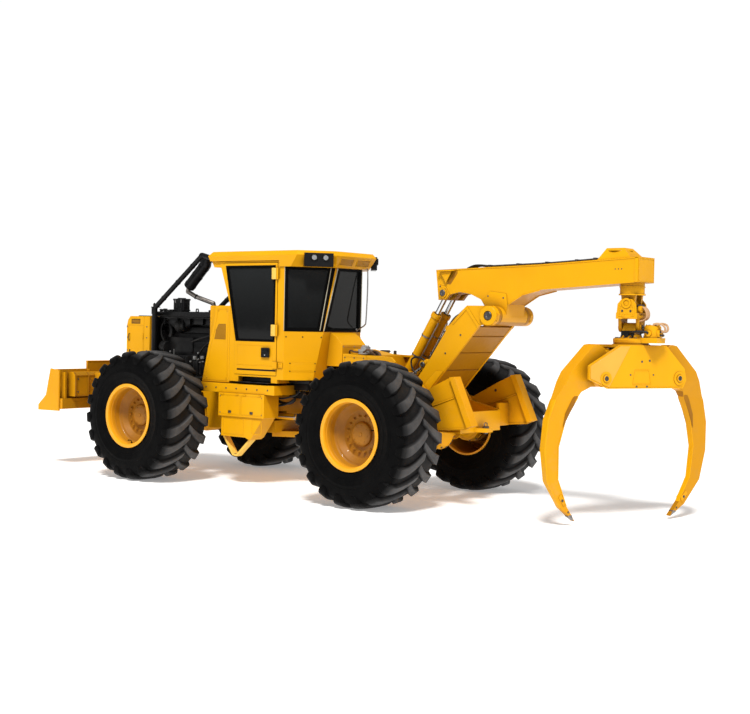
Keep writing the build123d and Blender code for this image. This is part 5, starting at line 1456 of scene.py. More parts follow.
def blade_parts():
    e = Piece("blade_cutting_edge", "blade", STEEL)
    e.prism([(4120, 836), (4370, 822), (4373, 830), (4367, 852), (4150, 874)], "y", -1170, 1170, 2)
    e.done()
    b = Piece("blade_bolts", "blade", DARK_STEEL)
    for k in range(17):
        y = -1120 + 140 * k
        b.cyl((4240, y, 866), (4236, y, 874), 13, 16, 2)
    for y in (-1160, -900, -600, 600, 900, 1160):
        b.bolt((3760, y * 0.82, 1110), (-1, 0, 0), 11, 9)
        b.bolt((3760, y * 0.82, 1300), (-1, 0, 0), 11, 9)
    b.done()
    y = Piece("blade_back_ribs", "blade", YELLOW_SHADE, "yellow_paint")
    # box section: stiffening ribs, access covers, and the deck plate's edge, in darker yellow as painted shade
    for yy in (-1000, -760, -340, 340, 760, 1000):
        y.prism([(3742, 1052), (3742, 1350), (3790, 1400), (3792, 1400), (3792, 1052)], "y", yy - 9, yy + 9, 2)
    for y0, y1 in ((-720, -380), (-300, 300), (380, 720)):
        y.ring([(y0, 1130), (y1, 1130), (y1, 1290), (y0, 1290)], [(y0 + 12, 1142), (y1 - 12, 1142), (y1 - 12, 1278), (y0 + 12, 1278)], lambda u, v, a: (3760 - a, u, v), -2, 4, 2)
    y.box(3752, 3764, -1014, 1014, 1340, 1358, 2)
    y.box(3752, 3764, -1014, 1014, 1040, 1056, 2)
    for s in (1, -1):
        y.prism([(3900, 1040), (3900, 1390), (3925, 1420), (3952, 1420), (3920, 1200), (3960, 1000)], "y", s * 1040 - 8, s * 1040 + 8, 2)
        y.prism([(3900, 1040), (3900, 1390), (3925, 1420), (3952, 1420), (3920, 1200), (3960, 1000)], "y", s * 1110 - 8, s * 1110 + 8, 2)
    y.done()
    p = Piece("blade_arm_pins", "blade", DARK_STEEL)
    for s in (1, -1):
        pin_cap(p, (3560, s * 600, 1000), (0, s, 0), 40)
        p.lathe([(46, 0), (92, 0), (92, 12), (46, 12)], (2330, s * 640, 760), (0, s, 0), seg=48)
        for k in range(6):
            q = 2 * math.pi * k / 6
            p.bolt((2330 + 72 * math.cos(q), s * 652, 760 + 72 * math.sin(q)), (0, s, 0), 8, 7)
    p.done()
    c = Piece("blade_pivot_caps", "front_frame", DARK_STEEL)
    for s in (1, -1):
        pin_cap(c, (2330, s * 653, 760), (0, s, 0), 42)
    c.done()
    w = Piece("blade_weld_pads", "blade", YELLOW_WORN, "yellow_paint")
    for s in (1, -1):
        w.prism([(3300, 850), (3420, 880), (3700, 870), (3700, 1230), (3560, 1240), (3440, 1140), (3320, 1000)], "y", s * 640, s * 652, 4)
        w.box(3896, 3946, s * 620, s * 660, 1400, 1440, 6)
    w.box(3908, 3958, -652, 652, 1555, 1567, 3)
    w.done()
    cyl_trim("blade_cylinder", "blade_barrels", "blade_rods", (2760, 1250), (3560, 1000), (490, -490), 48, 65, 56, 50, 28)
    # nose deck: tread
    n = Piece("nose_deck_tread", "front_frame", YELLOW_WORN, "yellow_paint")
    for i in range(9):
        for j in range(9):
            x, yy = 3222 + i * 36, -400 + j * 100
            z = 1500 + (x - 3192) * 0.1087 + 1
            n.box(x - 12, x + 12, yy - 3, yy + 3, z - 2, z + 4, 1.2, 1)
    n.done()


def tow_parts():
    p = Piece("belly_details", "front_frame", BLACK, "black_paint")
    p.box(1700, 2180, -300, 300, 1188, 1196, 4)
    for k in range(5):
        p.bolt((700 + 170 * k, 0, FRONT_PIN_LOW + 60), (0, 0, -1), 14, 8)
    p.done()


side_box_parts()
axle_parts("front", "front_frame", 1943.0, 1)
axle_parts("rear", "rear_frame", -1943.0, -1)
drive_parts()
blade_parts()
tow_parts()
# ------------------------------------------------------------ rear frame, hood, guard
def rear_frame_parts():
    b = Piece("rear_frame_bolts", "rear_frame", DARK_STEEL)
    y = Piece("rear_frame_ribs", "rear_frame", YELLOW, "yellow_paint")
    for s in (1, -1):
        pin_cap(b, (-2030, s * 470, 1330), (0, s, 0), 62)
        for x, z in ((-1050, 1220), (-1200, 1220), (-1350, 1220), (-1500, 1220), (-1050, 760), (-1200, 760), (-1350, 760)):
            b.bolt((x, s * 450, z), (0, s, 0), 12, 9)
        for k in range(4):
            b.bolt((-1950 - 60 * k + 90, s * 450, 1070), (0, s, 0), 12, 9)
        y.box(-1560, -1000, s * 449, s * 462, 1150, 1164, 2)
        y.prism([(-2330, 905), (-2760, 905), (-2760, 917), (-2330, 917)], "y", s * 449, s * 461, 2)
        y.prism([(-2340, 1252), (-2752, 1152), (-2752, 1140), (-2340, 1240)], "y", s * 449, s * 461, 2)
        y.prism([(-1900, 1462), (-2176, 1462), (-2176, 1450), (-1900, 1450)], "y", s * 449, s * 461, 2)
    for z, n in ((1178, 1), (732, -1)):
        for q in range(8):
            a = math.radians(45 * q)
            b.bolt((108 * math.cos(a), 108 * math.sin(a), z - 3 * n), (0, 0, n), 8, 7)
    # the recovery hitch's pin and its handle
    b.cyl((-2836, 0, 880), (-2836, 0, 975), 26, 28, 3)
    b.cyl((-2836, 0, 950), (-2836, 0, 976), 42, 30, 4)
    b.tube([(-2836, -30, 976), (-2836, -30, 1006), (-2836, 0, 1018), (-2836, 30, 1006), (-2836, 30, 976)], 6, 10, 5)
    b.done(); y.done()
    d = Piece("drive_shaft_rear", "rear_frame", DARK_STEEL)
    d.cyl((-1640, 0, 889), (-500, 0, 889), 44, 28, 3)
    d.lathe([(44, -30), (82, -22), (82, 22), (44, 30)], (-1610, 0, 889), (1, 0, 0), seg=36)
    d.done()


def hood_parts():
    y = Piece("rear_hood_details", "rear_frame", YELLOW, "yellow_paint")
    f = Piece("rear_hood_fittings", "rear_frame", DARK_STEEL)
    for s in (1, -1):
        put = lambda u, v, a, s=s: (u, s * (450 + a), v)
        y.ring([(-918, 1330), (-1262, 1330), (-1262, 1780), (-918, 1790)], [(-928, 1340), (-1252, 1340), (-1252, 1770), (-928, 1780)], put, -2, 3, 1.5)
        y.ring([(-1290, 1345), (-1720, 1360), (-1720, 1735), (-1290, 1780)], [(-1300, 1355), (-1710, 1370), (-1710, 1727), (-1300, 1770)],
               lambda u, v, a, s=s: (u, s * (442 + a), v), -2, 3, 1.5)
        for x in (-935, -1090, -1245):
            for z in (1346, 1770):
                f.bolt((x, s * 450, z), (0, s, 0), 8, 6)
        for x in (-1300, -1500, -1690):
            f.bolt((x, s * 442, 1380), (0, s, 0), 8, 6)
    # filler neck, breather and level gauge on the tank's top
    f.lathe([(0, 0), (60, 0), (60, 22), (72, 26), (72, 46), (60, 52), (0, 52)], (-1000, -330, 1812), (0, 0, 1), seg=40, closed=False)
    f.cyl((-1150, -350, 1806), (-1150, -350, 1862), 22, 24, 4)
    f.box(-1040, -1010, 447, 456, 1450, 1650, 4)
    y.done(); f.done()
    v = Piece("valve_block_details", "rear_frame", ALLOY)
    for k in range(4):
        v.cyl((-1222 + 30 * k, 320, 1912), (-1222 + 30 * k, 320, 1934), 11, 6, 2)
        v.cyl((-1225 + 32 * k, 398, 1846), (-1225 + 32 * k, 420, 1846), 12, 6, 2)
    for k in range(3):
        v.cyl((-1240, 270 + 45 * k, 1850), (-1268, 270 + 45 * k, 1850), 13, 6, 2)
    v.done()
    h = Piece("rear_hood_hoses", "rear_frame", HOSE_BROWN)
    h.tube([(-1262, 270, 1850), (-1320, 280, 1856), (-1390, 300, 1830), (-1430, 320, 1770), (-1440, 330, 1700)], 13, 12, 7)
    h.tube([(-1262, 315, 1850), (-1330, 330, 1862), (-1410, 350, 1838), (-1460, 350, 1770), (-1470, 340, 1700)], 13, 12, 7)
    h.tube([(-1222, 420, 1846), (-1240, 436, 1850), (-1300, 436, 1880), (-1360, 430, 1850), (-1400, 400, 1800), (-1410, 390, 1740)], 12, 12, 7)
    h.tube([(-1130, 420, 1846), (-1110, 434, 1846), (-1060, 430, 1850), (-1000, 400, 1860), (-940, 360, 1850), (-920, 330, 1820)], 12, 12, 7)
    h.done()
    # the two return lines that cross to the arch, clamped at the hood's end
    g = Piece("deck_pipes", "rear_frame", DARK_STEEL)
    g.tube([(-1276, 205, 1830), (-1316, 206, 1818), (-1336, 208, 1780), (-1320, 210, 1742), (-1270, 210, 1730)], 13, 12, 7)
    g.tube([(-1276, 245, 1820), (-1312, 246, 1808), (-1330, 248, 1772), (-1316, 250, 1736), (-1270, 250, 1724)], 13, 12, 7)
    g.box(-1290, -1262, 186, 266, 1796, 1844, 4)
    g.done()


def guard_parts():
    y = Piece("log_guard_details", "rear_frame", YELLOW_WORN, "yellow_paint")
    f = Piece("log_guard_bolts", "rear_frame", DARK_STEEL)
    for s in (1, -1):
        # lower flange line on the wing, inside and outside
        for yy in ((s * 690, s * 681), (s * 715, s * 724)):
            y.prism([(-2212, 1115), (-2851, 1348), (-2851, 1362), (-2212, 1130)], "y", yy[0], yy[1], 2)
            y.prism([(-2130, 950), (-2600, 950), (-3000, 986), (-3000, 998), (-2600, 962), (-2130, 962)], "y", yy[0], yy[1], 2)
        f.cyl((-2532, s * 688.5, 1387), (-2532, s * 690.5, 1387), 19, 24, 0.5)
        for x, z in ((-2180, 1010), (-2260, 1010), (-2340, 1010), (-2180, 1080)):
            f.bolt((x, s * 715, z), (0, s, 0), 11, 9)
        y.prism([(-2700, 1010), (-2700, 1235), (-2560, 1010)], "y", s * 655, s * 667, 3)
        y.prism([(-2400, 1010), (-2500, 1010), (-2450, 1120)], "y", s * 560, s * 570, 3)
    y.done(); f.done()


def steering_parts():
    for nm, s in (("left", 1), ("right", -1)):
        cyl_trim("steering_" + nm, "steering_barrel_" + nm, "steering_rod_" + nm, (620, s * 375), (-400, s * 270), (0,), 42, 225, 50, 46, 24, z=930)
    p = Piece("steering_pin_caps", "front_frame", DARK_STEEL)
    for s in (1, -1):
        p.lathe([(0, 0), (34, 0), (34, 8), (0, 10)], (620, s * 375, 862), (0, 0, -1), seg=30, closed=False)
    p.done()
    q = Piece("steering_eye_caps", "rear_frame", DARK_STEEL)
    for s in (1, -1):
        for z, n in ((1012, 1), (848, -1)):
            q.lathe([(0, 0), (38, 0), (38, 10), (0, 12)], (-400, s * 270, z), (0, 0, n), seg=30, closed=False)
    q.done()


def articulation_hoses():
    # hoses that stay with the rear frame's hinge block
    h = Piece("rear_hinge_hoses", "rear_frame", HOSE)
    for k in range(4):
        y = -120 + 80 * k
        h.tube([(-524, y, 1250), (-506, y, 1240), (-498, y * 0.95, 1205), (-504, y * 0.97, 1176), (-526, y, 1160)], 13, 12, 7)
    h.done()


rear_frame_parts()
hood_parts()
guard_parts()
steering_parts()
articulation_hoses()
# ------------------------------------------------------------ arch and boom
def arch_parts():
    y = Piece("arch_details", "arch", YELLOW, "yellow_paint")
    w = Piece("arch_rear_seams", "arch", YELLOW_SHADE, "yellow_paint")
    f = Piece("arch_pins", "arch", DARK_STEEL)
    for s in (1, -1):
        # boss rings and pin ends of the boom pivot
        y.lathe([(60, 0), (112, 0), (118, 6), (112, 12), (60, 12)], (-3108, s * 425, 2340), (0, s, 0), seg=56)
        pin_cap(f, (-3108, s * 425, 2340), (0, s, 0), 50, True, 16)
        # doubler round the foot pivot, edge strips along the plate
        y.prism([(-2170, 1316), (-2333, 1500), (-2460, 1650), (-2350, 1650), (-2120, 1420), (-1960, 1300), (-2030, 1220)], "y", s * 400, s * 408, 3)
        y.prism([(-2940, 2182), (-2972, 2222), (-2785, 2458), (-2752, 2430), (-2560, 2245), (-2590, 2225), (-2775, 2405), (-2930, 2212)], "y", s * 400, s * 406, 2)
        pin_cap(f, (-2140, s * 400, 1720), (0, s, 0), 34, True, 12)
        for x, z in ((-2700, 2100), (-2480, 1870)):
            f.bolt((x, s * 400, z), (0, s, 0), 9, 7)
    # seams across the rear plate, in darker yellow as painted shade
    for t in (0.10, 0.36, 0.62, 0.86):
        x, z = -2200 - 745 * t, 1350 + 850 * t
        w.loft([[(x - 7, -358, z - 6), (x - 7, 358, z - 6), (x + 6, 358, z + 9), (x + 6, -358, z + 9)],
                [(x - 14, -356, z - 0), (x - 14, 356, z - 0), (x - 1, 356, z + 15), (x - 1, -356, z + 15)]], 1, 1)
    # ears and gussets on the front edge
    y.prism([(-2520, 2205), (-2470, 2215), (-2440, 2180), (-2450, 2140), (-2490, 2150)], "y", 330, 360, 4)
    y.prism([(-2240, 1772), (-2190, 1790), (-2150, 1760), (-2160, 1700), (-2200, 1715)], "y", 330, 392, 4)
    y.prism([(-2240, 1772), (-2190, 1790), (-2150, 1760), (-2160, 1700), (-2200, 1715)], "y", -392, -330, 4)
    y.cyl((-2176, 330, 1752), (-2176, 398, 1752), 24, 24, 3)
    y.done(); w.done(); f.done()
    # foot of the boom cylinders
    g = Piece("boom_foot_caps", "arch", DARK_STEEL)
    for s in (1, -1):
        pin_cap(g, (-1585, s * 200, 1420), (0, s, 0), 42, True, 12)
    g.done()
    # hard pipes and hoses along the arch's front edge
    h = Piece("arch_pipes", "arch", DARK_STEEL)
    for k in range(3):
        yy = 300 - 34 * k
        h.tube([(-2060, yy, 1560), (-2180, yy, 1800), (-2360, yy, 2070), (-2520, yy, 2290), (-2620, yy, 2360)], 10, 10, 7)
    for t, (x, z) in enumerate(((-2215, 1860), (-2400, 2128))):
        h.box(x - 24, x + 24, 216, 316, z - 10, z + 18, 4)
    h.done()
    h = Piece("arch_hoses", "arch", HOSE)
    h.tube([(-1860, 200, 1400), (-1905, 204, 1462), (-1985, 205, 1514), (-2062, 200, 1560)], 13, 12, 7)
    h.tube([(-1860, 202, 1366), (-1907, 205, 1428), (-1988, 206, 1480), (-2066, 202, 1526)], 13, 12, 7)
    h.tube([(-2620, 300, 2360), (-2700, 300, 2420), (-2800, 300, 2440), (-2920, 290, 2420)], 13, 12, 7)
    h.done()
    # line from the deck to the arch's ear, seen against the gap
    l = Piece("arch_feed_line", "arch", HOSE)
    l.tube([(-2170, 372, 1760), (-2120, 380, 1792), (-2060, 384, 1806), (-1990, 384, 1800), (-1955, 382, 1766), (-1956, 378, 1700), (-1985, 374, 1640), (-2030, 370, 1600)], 11, 12, 7)
    l.done()


def boom_parts():
    y = Piece("boom_details", "boom", YELLOW, "yellow_paint")
    d = Piece("boom_shadow_plates", "boom", YELLOW_SHADE, "yellow_paint")
    f = Piece("boom_pins", "boom", DARK_STEEL)
    for s in (1, -1):
        # lip along the top edge, doubler at the tail and at the pivot
        y.prism([(-2185, 2890), (-3673, 2943), (-4940, 3016), (-4940, 3028), (-3673, 2955), (-2185, 2902)], "y", s * 199, s * 205, 1.5)
        y.prism([(-2226, 2536), (-2336, 2536), (-2390, 2604), (-2330, 2700), (-2230, 2720)], "y", s * 200, s * 208, 3)
        pin_cap(f, (-2296, s * 222, 2617), (0, s, 0), 40, True, 12)
        y.prism([(-3222, 2350), (-2994, 2350), (-2880, 2520), (-2990, 2640), (-3220, 2610), (-3236, 2480)], "y", s * 200, s * 209, 3)
        for x, z in ((-2960, 2580), (-3180, 2560), (-2250, 2700), (-2330, 2660)):
            f.bolt((x, s * 208, z), (0, s, 0), 8, 6)
        y.lathe([(60, 0), (116, 0), (116, 10), (60, 10)], (-3108, s * 200, 2340), (0, s, 0), seg=56)
        # tube rim at the tip and the little sight holes
        y.prism([(-4900, 2748), (-4944, 2748), (-4944, 3026), (-4900, 3022)], "y", s * 199, s * 205, 1.5)
        for x in (-4700, -4740, -4660):
            f.cyl((x, s * 199.5, 2895), (x, s * 201.5, 2895), 7, 14, 0.5)
    # bracket with its gusset on the tail's left side, near the top
    y.prism([(-2240, 2895), (-2480, 2904), (-2480, 2890), (-2240, 2881)], "y", 200, 262, 2)
    y.prism([(-2255, 2890), (-2440, 2897), (-2350, 2740)], "y", 224, 236, 2)
    # thin plate in painted shade: the gusset's shadow on the boom's side
    d.prism([(-2350, 2730), (-2450, 2890), (-2500, 2892), (-2500, 2860), (-2400, 2725)], "y", 200, 203, 0.6)
    # pipes on top with clamps
    h = Piece("boom_pipes", "boom", DARK_STEEL)
    for k in range(4):
        yy = -75 + 50 * k
        h.tube([(-2800, yy, 2950), (-3200, yy, 2962), (-3673, yy, 2978), (-4200, yy, 3009), (-4380, yy, 3022)], 11, 10, 6)
    for x, z in ((-2900, 2953), (-3300, 2966), (-3700, 2981), (-4100, 3003), (-4340, 3019)):
        h.box(x - 16, x + 16, -104, 104, z - 24, z + 15, 3)
    h.done()
    # tip: cover dome, its seams and the pin ends
    y.lathe([(0, 0), (152, 0), (148, 8), (120, 22), (70, 30), (0, 33)], (-4610, 0, 3108), (0, 0, 1), seg=56, closed=False)
    y.lathe([(138, 0), (152, 0), (152, 16), (138, 16)], (-4780, 0, 2600), (0, 0, 1), seg=64)
    y.lathe([(138, 0), (148, 0), (148, 12), (138, 12)], (-4780, 0, 2690), (0, 0, 1), seg=64)
    for s in (1, -1):
        pin_cap(f, (-4780, s * 100, 2500), (0, s, 0), 34, True, 8)
    # end plate with its weld frame
    y.ring([(-194, 2752), (194, 2752), (194, 3022), (-194, 3022)], [(-184, 2762), (184, 2762), (184, 3012), (-184, 3012)], lambda u, v, a: (-4950 - a, u, v), -2, 3, 1)
    # underside bow plate seams
    for x0, z0, x1, z1 in ((-3440, 2598, -3240, 2478), (-3682, 2655, -3440, 2598)):
        y.prism([(x0, z0 - 8), (x1, z1 - 8), (x1, z1 + 4), (x0, z0 + 4)], "y", -204, -192, 1)
        y.prism([(x0, z0 - 8), (x1, z1 - 8), (x1, z1 + 4), (x0, z0 + 4)], "y", 192, 204, 1)
    y.done(); d.done(); f.done()
    # short hoses at the tail
    t = Piece("boom_tail_hoses", "boom", HOSE)
    for k in range(3):
        t.tube([(-2830, -75 + 50 * k, 2952), (-2740, -75 + 50 * k, 2964), (-2640, -80 + 56 * k, 2962), (-2560, -90 + 62 * k, 2936), (-2540, -96 + 66 * k, 2926)], 13, 12, 7)
    t.done()


arch_parts()
boom_parts()
cyl_trim("arch_cylinder", "arch_barrels", "arch_rods", (-1120, 1090), (-2140, 1720), (290, -290), 52, 200, 60, 54, 32)
cyl_trim("boom_cylinder", "boom_barrels", "boom_rods", (-1585, 1420), (-2296, 2617), (100, -100), 58, 232, 66, 56, 34)
# ------------------------------------------------------------ hanging grapple
TIP = -4780.0
YAW = math.radians(-24)


def gx(x, y, z):
    """From the grapple's own axes to the machine's."""
    return Vector((TIP + x * math.cos(YAW) - y * math.sin(YAW), x * math.sin(YAW) + y * math.cos(YAW), z))


GRAPPLE_XF = Matrix.Translation((TIP, 0, 0)) @ Matrix.Rotation(YAW, 4, "Z")


def link_parts():
    y = Piece("swing_link_details", "swing_link", YELLOW, "yellow_paint")
    f = Piece("swing_link_pins", "swing_link", DARK_STEEL)
    # rounded base plate, and boss rings round the cross pin
    y.lathe([(0, 0), (146, 0), (150, 8), (150, 34), (142, 42), (0, 42)], (TIP, 0, 2336), (0, 0, 1), seg=64, closed=False)
    for s in (1, -1):
        y.lathe([(30, 0), (56, 0), (56, 10), (30, 10)], (TIP + s * 130, 0, 2235), (s, 0, 0), seg=40)
        pin_cap(f, (TIP + s * 136, 0, 2235), (s, 0, 0), 28, True, 10)
        y.ring([(TIP - 100, 2360), (TIP + 100, 2360), (TIP + 96, 2480), (TIP - 96, 2480)], [(TIP - 84, 2374), (TIP + 84, 2374), (TIP + 80, 2468), (TIP - 80, 2468)],
               lambda u, v, a, s=s: (u, s * (138 + a), v), -2, 4, 1.5)
        y.lathe([(36, 0), (58, 0), (58, 9), (36, 9)], (TIP, s * 138, 2510), (0, s, 0), seg=40)
        for dx in (-52, 52):
            f.bolt((TIP + dx, s * 138, 2420), (0, s, 0), 10, 8)
    # boss on the camera-far side that takes the hose swivel
    y.cyl((TIP + 118, 0, 2440), (TIP + 158, 0, 2440), 44, 30, 6)
    y.cyl((TIP - 158, 60, 2440), (TIP - 118, 60, 2440), 40, 30, 6)
    y.done(); f.done()
    h = Piece("link_hoses", "swing_link", HOSE_PALE)
    for k in range(4):
        yy = -96 + 52 * k
        h.tube([(TIP - 126, yy * 0.6, 2470), (TIP - 154 - 9 * k, yy * 0.8, 2448), (TIP - 172 - 15 * k, yy, 2396 - 6 * k), (TIP - 160 - 12 * k, yy * 1.05, 2344 - 6 * k), (TIP - 128, yy * 0.9, 2318 - 4 * k)], 10, 12, 7)
    h.done()
    h = Piece("link_hose_fittings", "swing_link", DARK_STEEL)
    for k in range(4):
        yy = -96 + 52 * k
        h.cyl((TIP - 112, yy * 0.6, 2470), (TIP - 134, yy * 0.6, 2470), 15, 6, 3)
    h.box(TIP - 120, TIP - 106, -86, 86, 2436, 2496, 4)
    h.done()


def rotator_parts():
    y = Piece("rotator_details", "rotator", YELLOW, "yellow_paint")
    f = Piece("rotator_bolts", "rotator", DARK_STEEL)
    k = Piece("rotator_ports", "rotator", BLACK, "black_paint")
    y.lathe([(196, 0), (206, 4), (206, 40), (196, 46)], (TIP, 0, 2056), (0, 0, 1), seg=72)
    y.lathe([(80, 0), (130, 0), (118, 34), (96, 46), (80, 46)], (TIP, 0, 2110), (0, 0, 1), seg=60)
    for q in range(16):
        a = math.radians(22.5 * q)
        if abs(math.degrees(a) - 180) < 40:
            continue
        f.bolt((TIP + 172 * math.cos(a), 172 * math.sin(a), 2110), (0, 0, 1), 11, 11)
    # motor: body, end cover, flange and plugs
    y.lathe([(94, 0), (102, 6), (102, 28), (94, 34)], (TIP - 265, 0, 2116), (0, 0, 1), seg=56)
    y.lathe([(0, 0), (88, 0), (84, 12), (60, 18), (0, 18)], (TIP - 265, 0, 2248), (0, 0, 1), seg=48, closed=False)
    for q in range(6):
        a = math.radians(60 * q + 20)
        f.bolt((TIP - 265 + 70 * math.cos(a), 70 * math.sin(a), 2262), (0, 0, 1), 8, 8)
    y.box(TIP - 372, TIP - 330, -60, 60, 2128, 2210, 10)
    y.cyl((TIP - 265, 70, 2170), (TIP - 265, 118, 2170), 34, 28, 5)
    y.cyl((TIP - 265, -118, 2170), (TIP - 265, -70, 2170), 34, 28, 5)
    for zz in (2150, 2190):
        f.cyl((TIP - 368, 30, zz), (TIP - 392, 30, zz), 13, 6, 2)
        f.cyl((TIP - 368, -30, zz), (TIP - 392, -30, zz), 13, 6, 2)
    # black swivel block between the forks, its black also painted shade for the gap there
    k.box(TIP - 78, TIP + 78, 68, 108, 2118, 2196, 8)
    k.box(TIP - 78, TIP + 78, -108, -68, 2118, 2196, 8)
    k.cyl((TIP, 60, 2150), (TIP, 132, 2150), 30, 24, 4)
    k.done(); y.done(); f.done()
    h = Piece("rotator_hoses", "rotator", HOSE)
    h.tube([(TIP - 30, 104, 2160), (TIP - 80, 150, 2180), (TIP - 160, 150, 2190), (TIP - 240, 130, 2186), (TIP - 265, 116, 2172)], 13, 12, 7)
    h.tube([(TIP - 30, -104, 2160), (TIP - 80, -150, 2180), (TIP - 160, -150, 2190), (TIP - 240, -130, 2186), (TIP - 265, -116, 2172)], 13, 12, 7)
    h.done()
    h = Piece("rotator_sleeves", "rotator", HOSE_PALE)
    h.tube([(TIP - 392, 30, 2190), (TIP - 424, 32, 2196), (TIP - 436, 36, 2226), (TIP - 410, 50, 2268), (TIP - 350, 62, 2282), (TIP - 300, 60, 2272)], 12, 12, 7)
    h.tube([(TIP - 392, -30, 2190), (TIP - 424, -32, 2196), (TIP - 436, -36, 2226), (TIP - 410, -50, 2268), (TIP - 350, -62, 2282), (TIP - 300, -60, 2272)], 12, 12, 7)
    h.done()


def head_parts():
    y = Piece("grapple_head_details", "grapple_head", YELLOW, "yellow_paint")
    d = Piece("grapple_head_doublers", "grapple_head", YELLOW_PAINTED_HIGHLIGHT, "yellow_paint")
    f = Piece("grapple_head_pins", "grapple_head", DARK_STEEL)
    for p in (y, d, f):
        p.xf = GRAPPLE_XF
    for s in (1, -1):
        put = lambda u, v, a, s=s: (-s * (225 + a), s * u, v)
        # doubler on the plate's longer end, its paler yellow a painted highlight
        d.plate([(196, 2022), (330, 2022), (742, 1798), (742, 1662), (482, 1560)], put, -1, 5, 1.5)
        # stiffening rib down the middle, cover plate and its screws
        y.ring([(-120, 1590), (150, 1590), (120, 1760), (-90, 1760)], [(-108, 1602), (136, 1602), (110, 1748), (-80, 1748)], put, -2, 4, 1.5)
        for q in (-150, 180):
            f.bolt(Vector(put(q, 1700, 0)), (-s, 0, 0), 8, 5)
        for u, v in ((20, 1850), (-90, 1860), (-60, 1560 + 6), (90, 1566)):
            f.cyl(Vector(put(u, v, -1)), Vector(put(u, v, 3)), 13, 16, 1)
        # pin ends, each with a keeper
        for u in (530, -530):
            y.lathe([(46, 0), (78, 0), (78, 9), (46, 9)], Vector(put(u, 1660, 0)), (-s, 0, 0), seg=44)
            pin_cap(f, Vector(put(u, 1660, 14)), (-s, 0, 0), 30, True, 9)
        # rolled lower edge
        y.prism([(490, 1545), (490, 1557), (-590, 1557), (-590, 1545)] if s > 0 else [(-490, 1545), (-490, 1557), (590, 1557), (590, 1545)], "x", -s * 225, -s * 231, 1.5)
    y.lathe([(150, 0), (213, 0), (213, 10), (150, 10)], (0, 0, 2034), (0, 0, 1), seg=72)
    for q in range(12):
        a = math.radians(30 * q + 10)
        f.bolt((182 * math.cos(a), 182 * math.sin(a), 2002), (0, 0, -1), 10, 8)
    for x in (-205, 205):
        y.box(x - 14, x + 14, -330, 330, 1990, 2006, 3)
    y.done(); d.done(); f.done()


